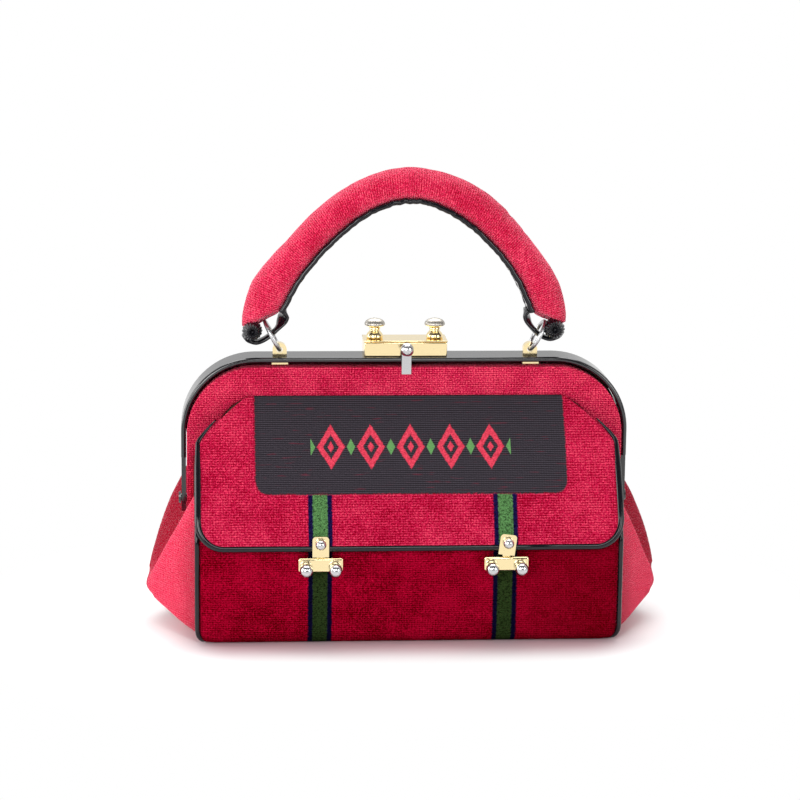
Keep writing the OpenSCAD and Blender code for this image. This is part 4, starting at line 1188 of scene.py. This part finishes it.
class HANDBAG_OT_stage(bpy.types.Operator):
    """Floor, lights, white surroundings and the camera."""

    bl_idname = "handbag.stage"
    bl_label = "Stage"

    def execute(self, context):
        scene = context.scene
        scene.view_settings.view_transform = "Standard"
        self.floor()
        self.world(scene)
        self.lamp("key", (-0.9, -1.5, 0.7), 0.9, 17.0)
        self.lamp("front", (0.12, -1.7, 1.0), 0.5, 4.5)
        self.lamp("side", (-1.4, 0.0, 0.4), 1.0, 13.0)
        self.lamp("fill", (1.2, -1.2, 0.6), 0.8, 9.0)
        self.lamp("top", (0.0, 0.5, 1.5), 1.6, 26.0)
        self.camera(scene)
        return {"FINISHED"}

    def floor(self):
        bm = bmesh.new()
        bmesh.ops.create_grid(bm, x_segments=2, y_segments=2, size=6.0)
        mesh = bpy.data.meshes.new("floor")
        bm.to_mesh(mesh)
        bm.free()
        linked("floor", mesh)
        finish = Finish("floor_paper", 0.9)
        finish.set(Specular_IOR_Level=0.0)
        x, y, _ = finish.axes()

        def off(value, half):
            over = finish.math("MAXIMUM", finish.math("SUBTRACT", finish.math("ABSOLUTE", value), half), 0.0)
            return finish.math("MULTIPLY", over, over)

        distance = finish.math("SQRT", finish.math("ADD", off(x, 0.100), off(y, 0.050)))
        # Painted shadow and bounce: close round the base the floor colour turns a darker pink, standing in for the
        # contact shadow and light bounced off the velvet.
        painted_shadow_and_bounce = finish.between(distance, 0.004, 0.045)
        finish.colour(finish.mix(painted_shadow_and_bounce, (0.66, 0.46, 0.50), (0.86, 0.86, 0.86)))
        path = finish.add("LightPath").outputs
        seen = finish.math("MAXIMUM", path["Is Camera Ray"], path["Is Glossy Ray"])
        seen = finish.math("MAXIMUM", seen, path["Is Transmission Ray"])
        shown = finish.math("MULTIPLY", finish.between(distance, 0.012, 0.15), seen)
        glow = finish.add("Emission").outputs[0]
        choice = finish.add("MixShader", {0: shown, 1: finish.surface.outputs[0], 2: glow})
        finish.tree.links.new(choice.outputs[0], finish.tree.nodes["Material Output"].inputs[0])
        mesh.materials.append(finish.material)

    def world(self, scene):
        world = bpy.data.worlds.new("white_room")
        scene.world = world
        world.use_nodes = True
        room = Nodes(world.node_tree)
        background = room.tree.nodes["Background"].inputs
        axes = room.add("SeparateXYZ", {0: room.add("TexCoord").outputs["Generated"]}).outputs
        light = room.between(axes["Y"], -0.5, 0.3, 0.12, 0.85)
        camera = room.add("LightPath").outputs["Is Camera Ray"]
        room.feed(background["Color"], (1.0, 1.0, 1.0))
        room.feed(background["Strength"], room.add("Mix", {"Factor": camera, "A": light, "B": 1.0}).outputs["Result"])

    def lamp(self, name, at, width, power):
        data = bpy.data.lights.new(name, "AREA")
        data.shape = "SQUARE"
        data.size = width
        data.energy = power
        lamp = linked(name, data)
        lamp.location = at
        lamp.rotation_euler = (Vector((0, 0, 0.1)) - Vector(at)).to_track_quat("-Z", "Y").to_euler()

    def camera(self, scene):
        azimuth, elevation, distance = math.radians(-4.5), math.radians(12.0), 1.7
        target = Vector((-0.0024, 0.0, 0.1312))
        level = math.cos(elevation)
        back = Vector((math.sin(azimuth) * level, -math.cos(azimuth) * level, math.sin(elevation)))
        data = bpy.data.cameras.new("photo_view")
        data.sensor_width = 36.0
        data.lens = 130.8
        camera = linked("photo_view", data)
        camera.location = target + distance * back
        roll = Matrix.Rotation(math.radians(0.7), 4, "Z").to_quaternion()
        camera.rotation_euler = ((-back).to_track_quat("-Z", "Y") @ roll).to_euler()
        scene.camera = camera


STEPS = (
    HANDBAG_OT_stage,
    HANDBAG_OT_finishes,
    HANDBAG_OT_lower_panel,
    HANDBAG_OT_back_panel,
    HANDBAG_OT_gussets,
    HANDBAG_OT_front_jaw,
    HANDBAG_OT_flap,
    HANDBAG_OT_seam_piping,
    HANDBAG_OT_handle,
    HANDBAG_OT_fittings,
)


class HANDBAG_PT_panel(bpy.types.Panel):
    """Lists the handbag's sizes, colours and steps."""

    bl_idname = "HANDBAG_PT_panel"
    bl_label = "Velvet frame handbag"
    bl_space_type = "VIEW_3D"
    bl_region_type = "UI"
    bl_category = "Handbag"

    def draw(self, context):
        for group in (context.scene.handbag_sizes, context.scene.handbag_colours):
            column = self.layout.column(align=True)
            for name in group.__annotations__:
                column.prop(group, name)
        for step in STEPS:
            self.layout.operator(step.bl_idname)


CLASSES = (HandbagSizes, HandbagColours, *STEPS, HANDBAG_PT_panel)


def register():
    for cls in CLASSES:
        bpy.utils.register_class(cls)
    bpy.types.Scene.handbag_sizes = PointerProperty(type=HandbagSizes)
    bpy.types.Scene.handbag_colours = PointerProperty(type=HandbagColours)


def unregister():
    del bpy.types.Scene.handbag_colours
    del bpy.types.Scene.handbag_sizes
    for cls in reversed(CLASSES):
        bpy.utils.unregister_class(cls)


def main():
    register()
    for step in STEPS:
        group, name = step.bl_idname.split(".")
        getattr(getattr(bpy.ops, group), name)()


if __name__ == "__main__":
    main()
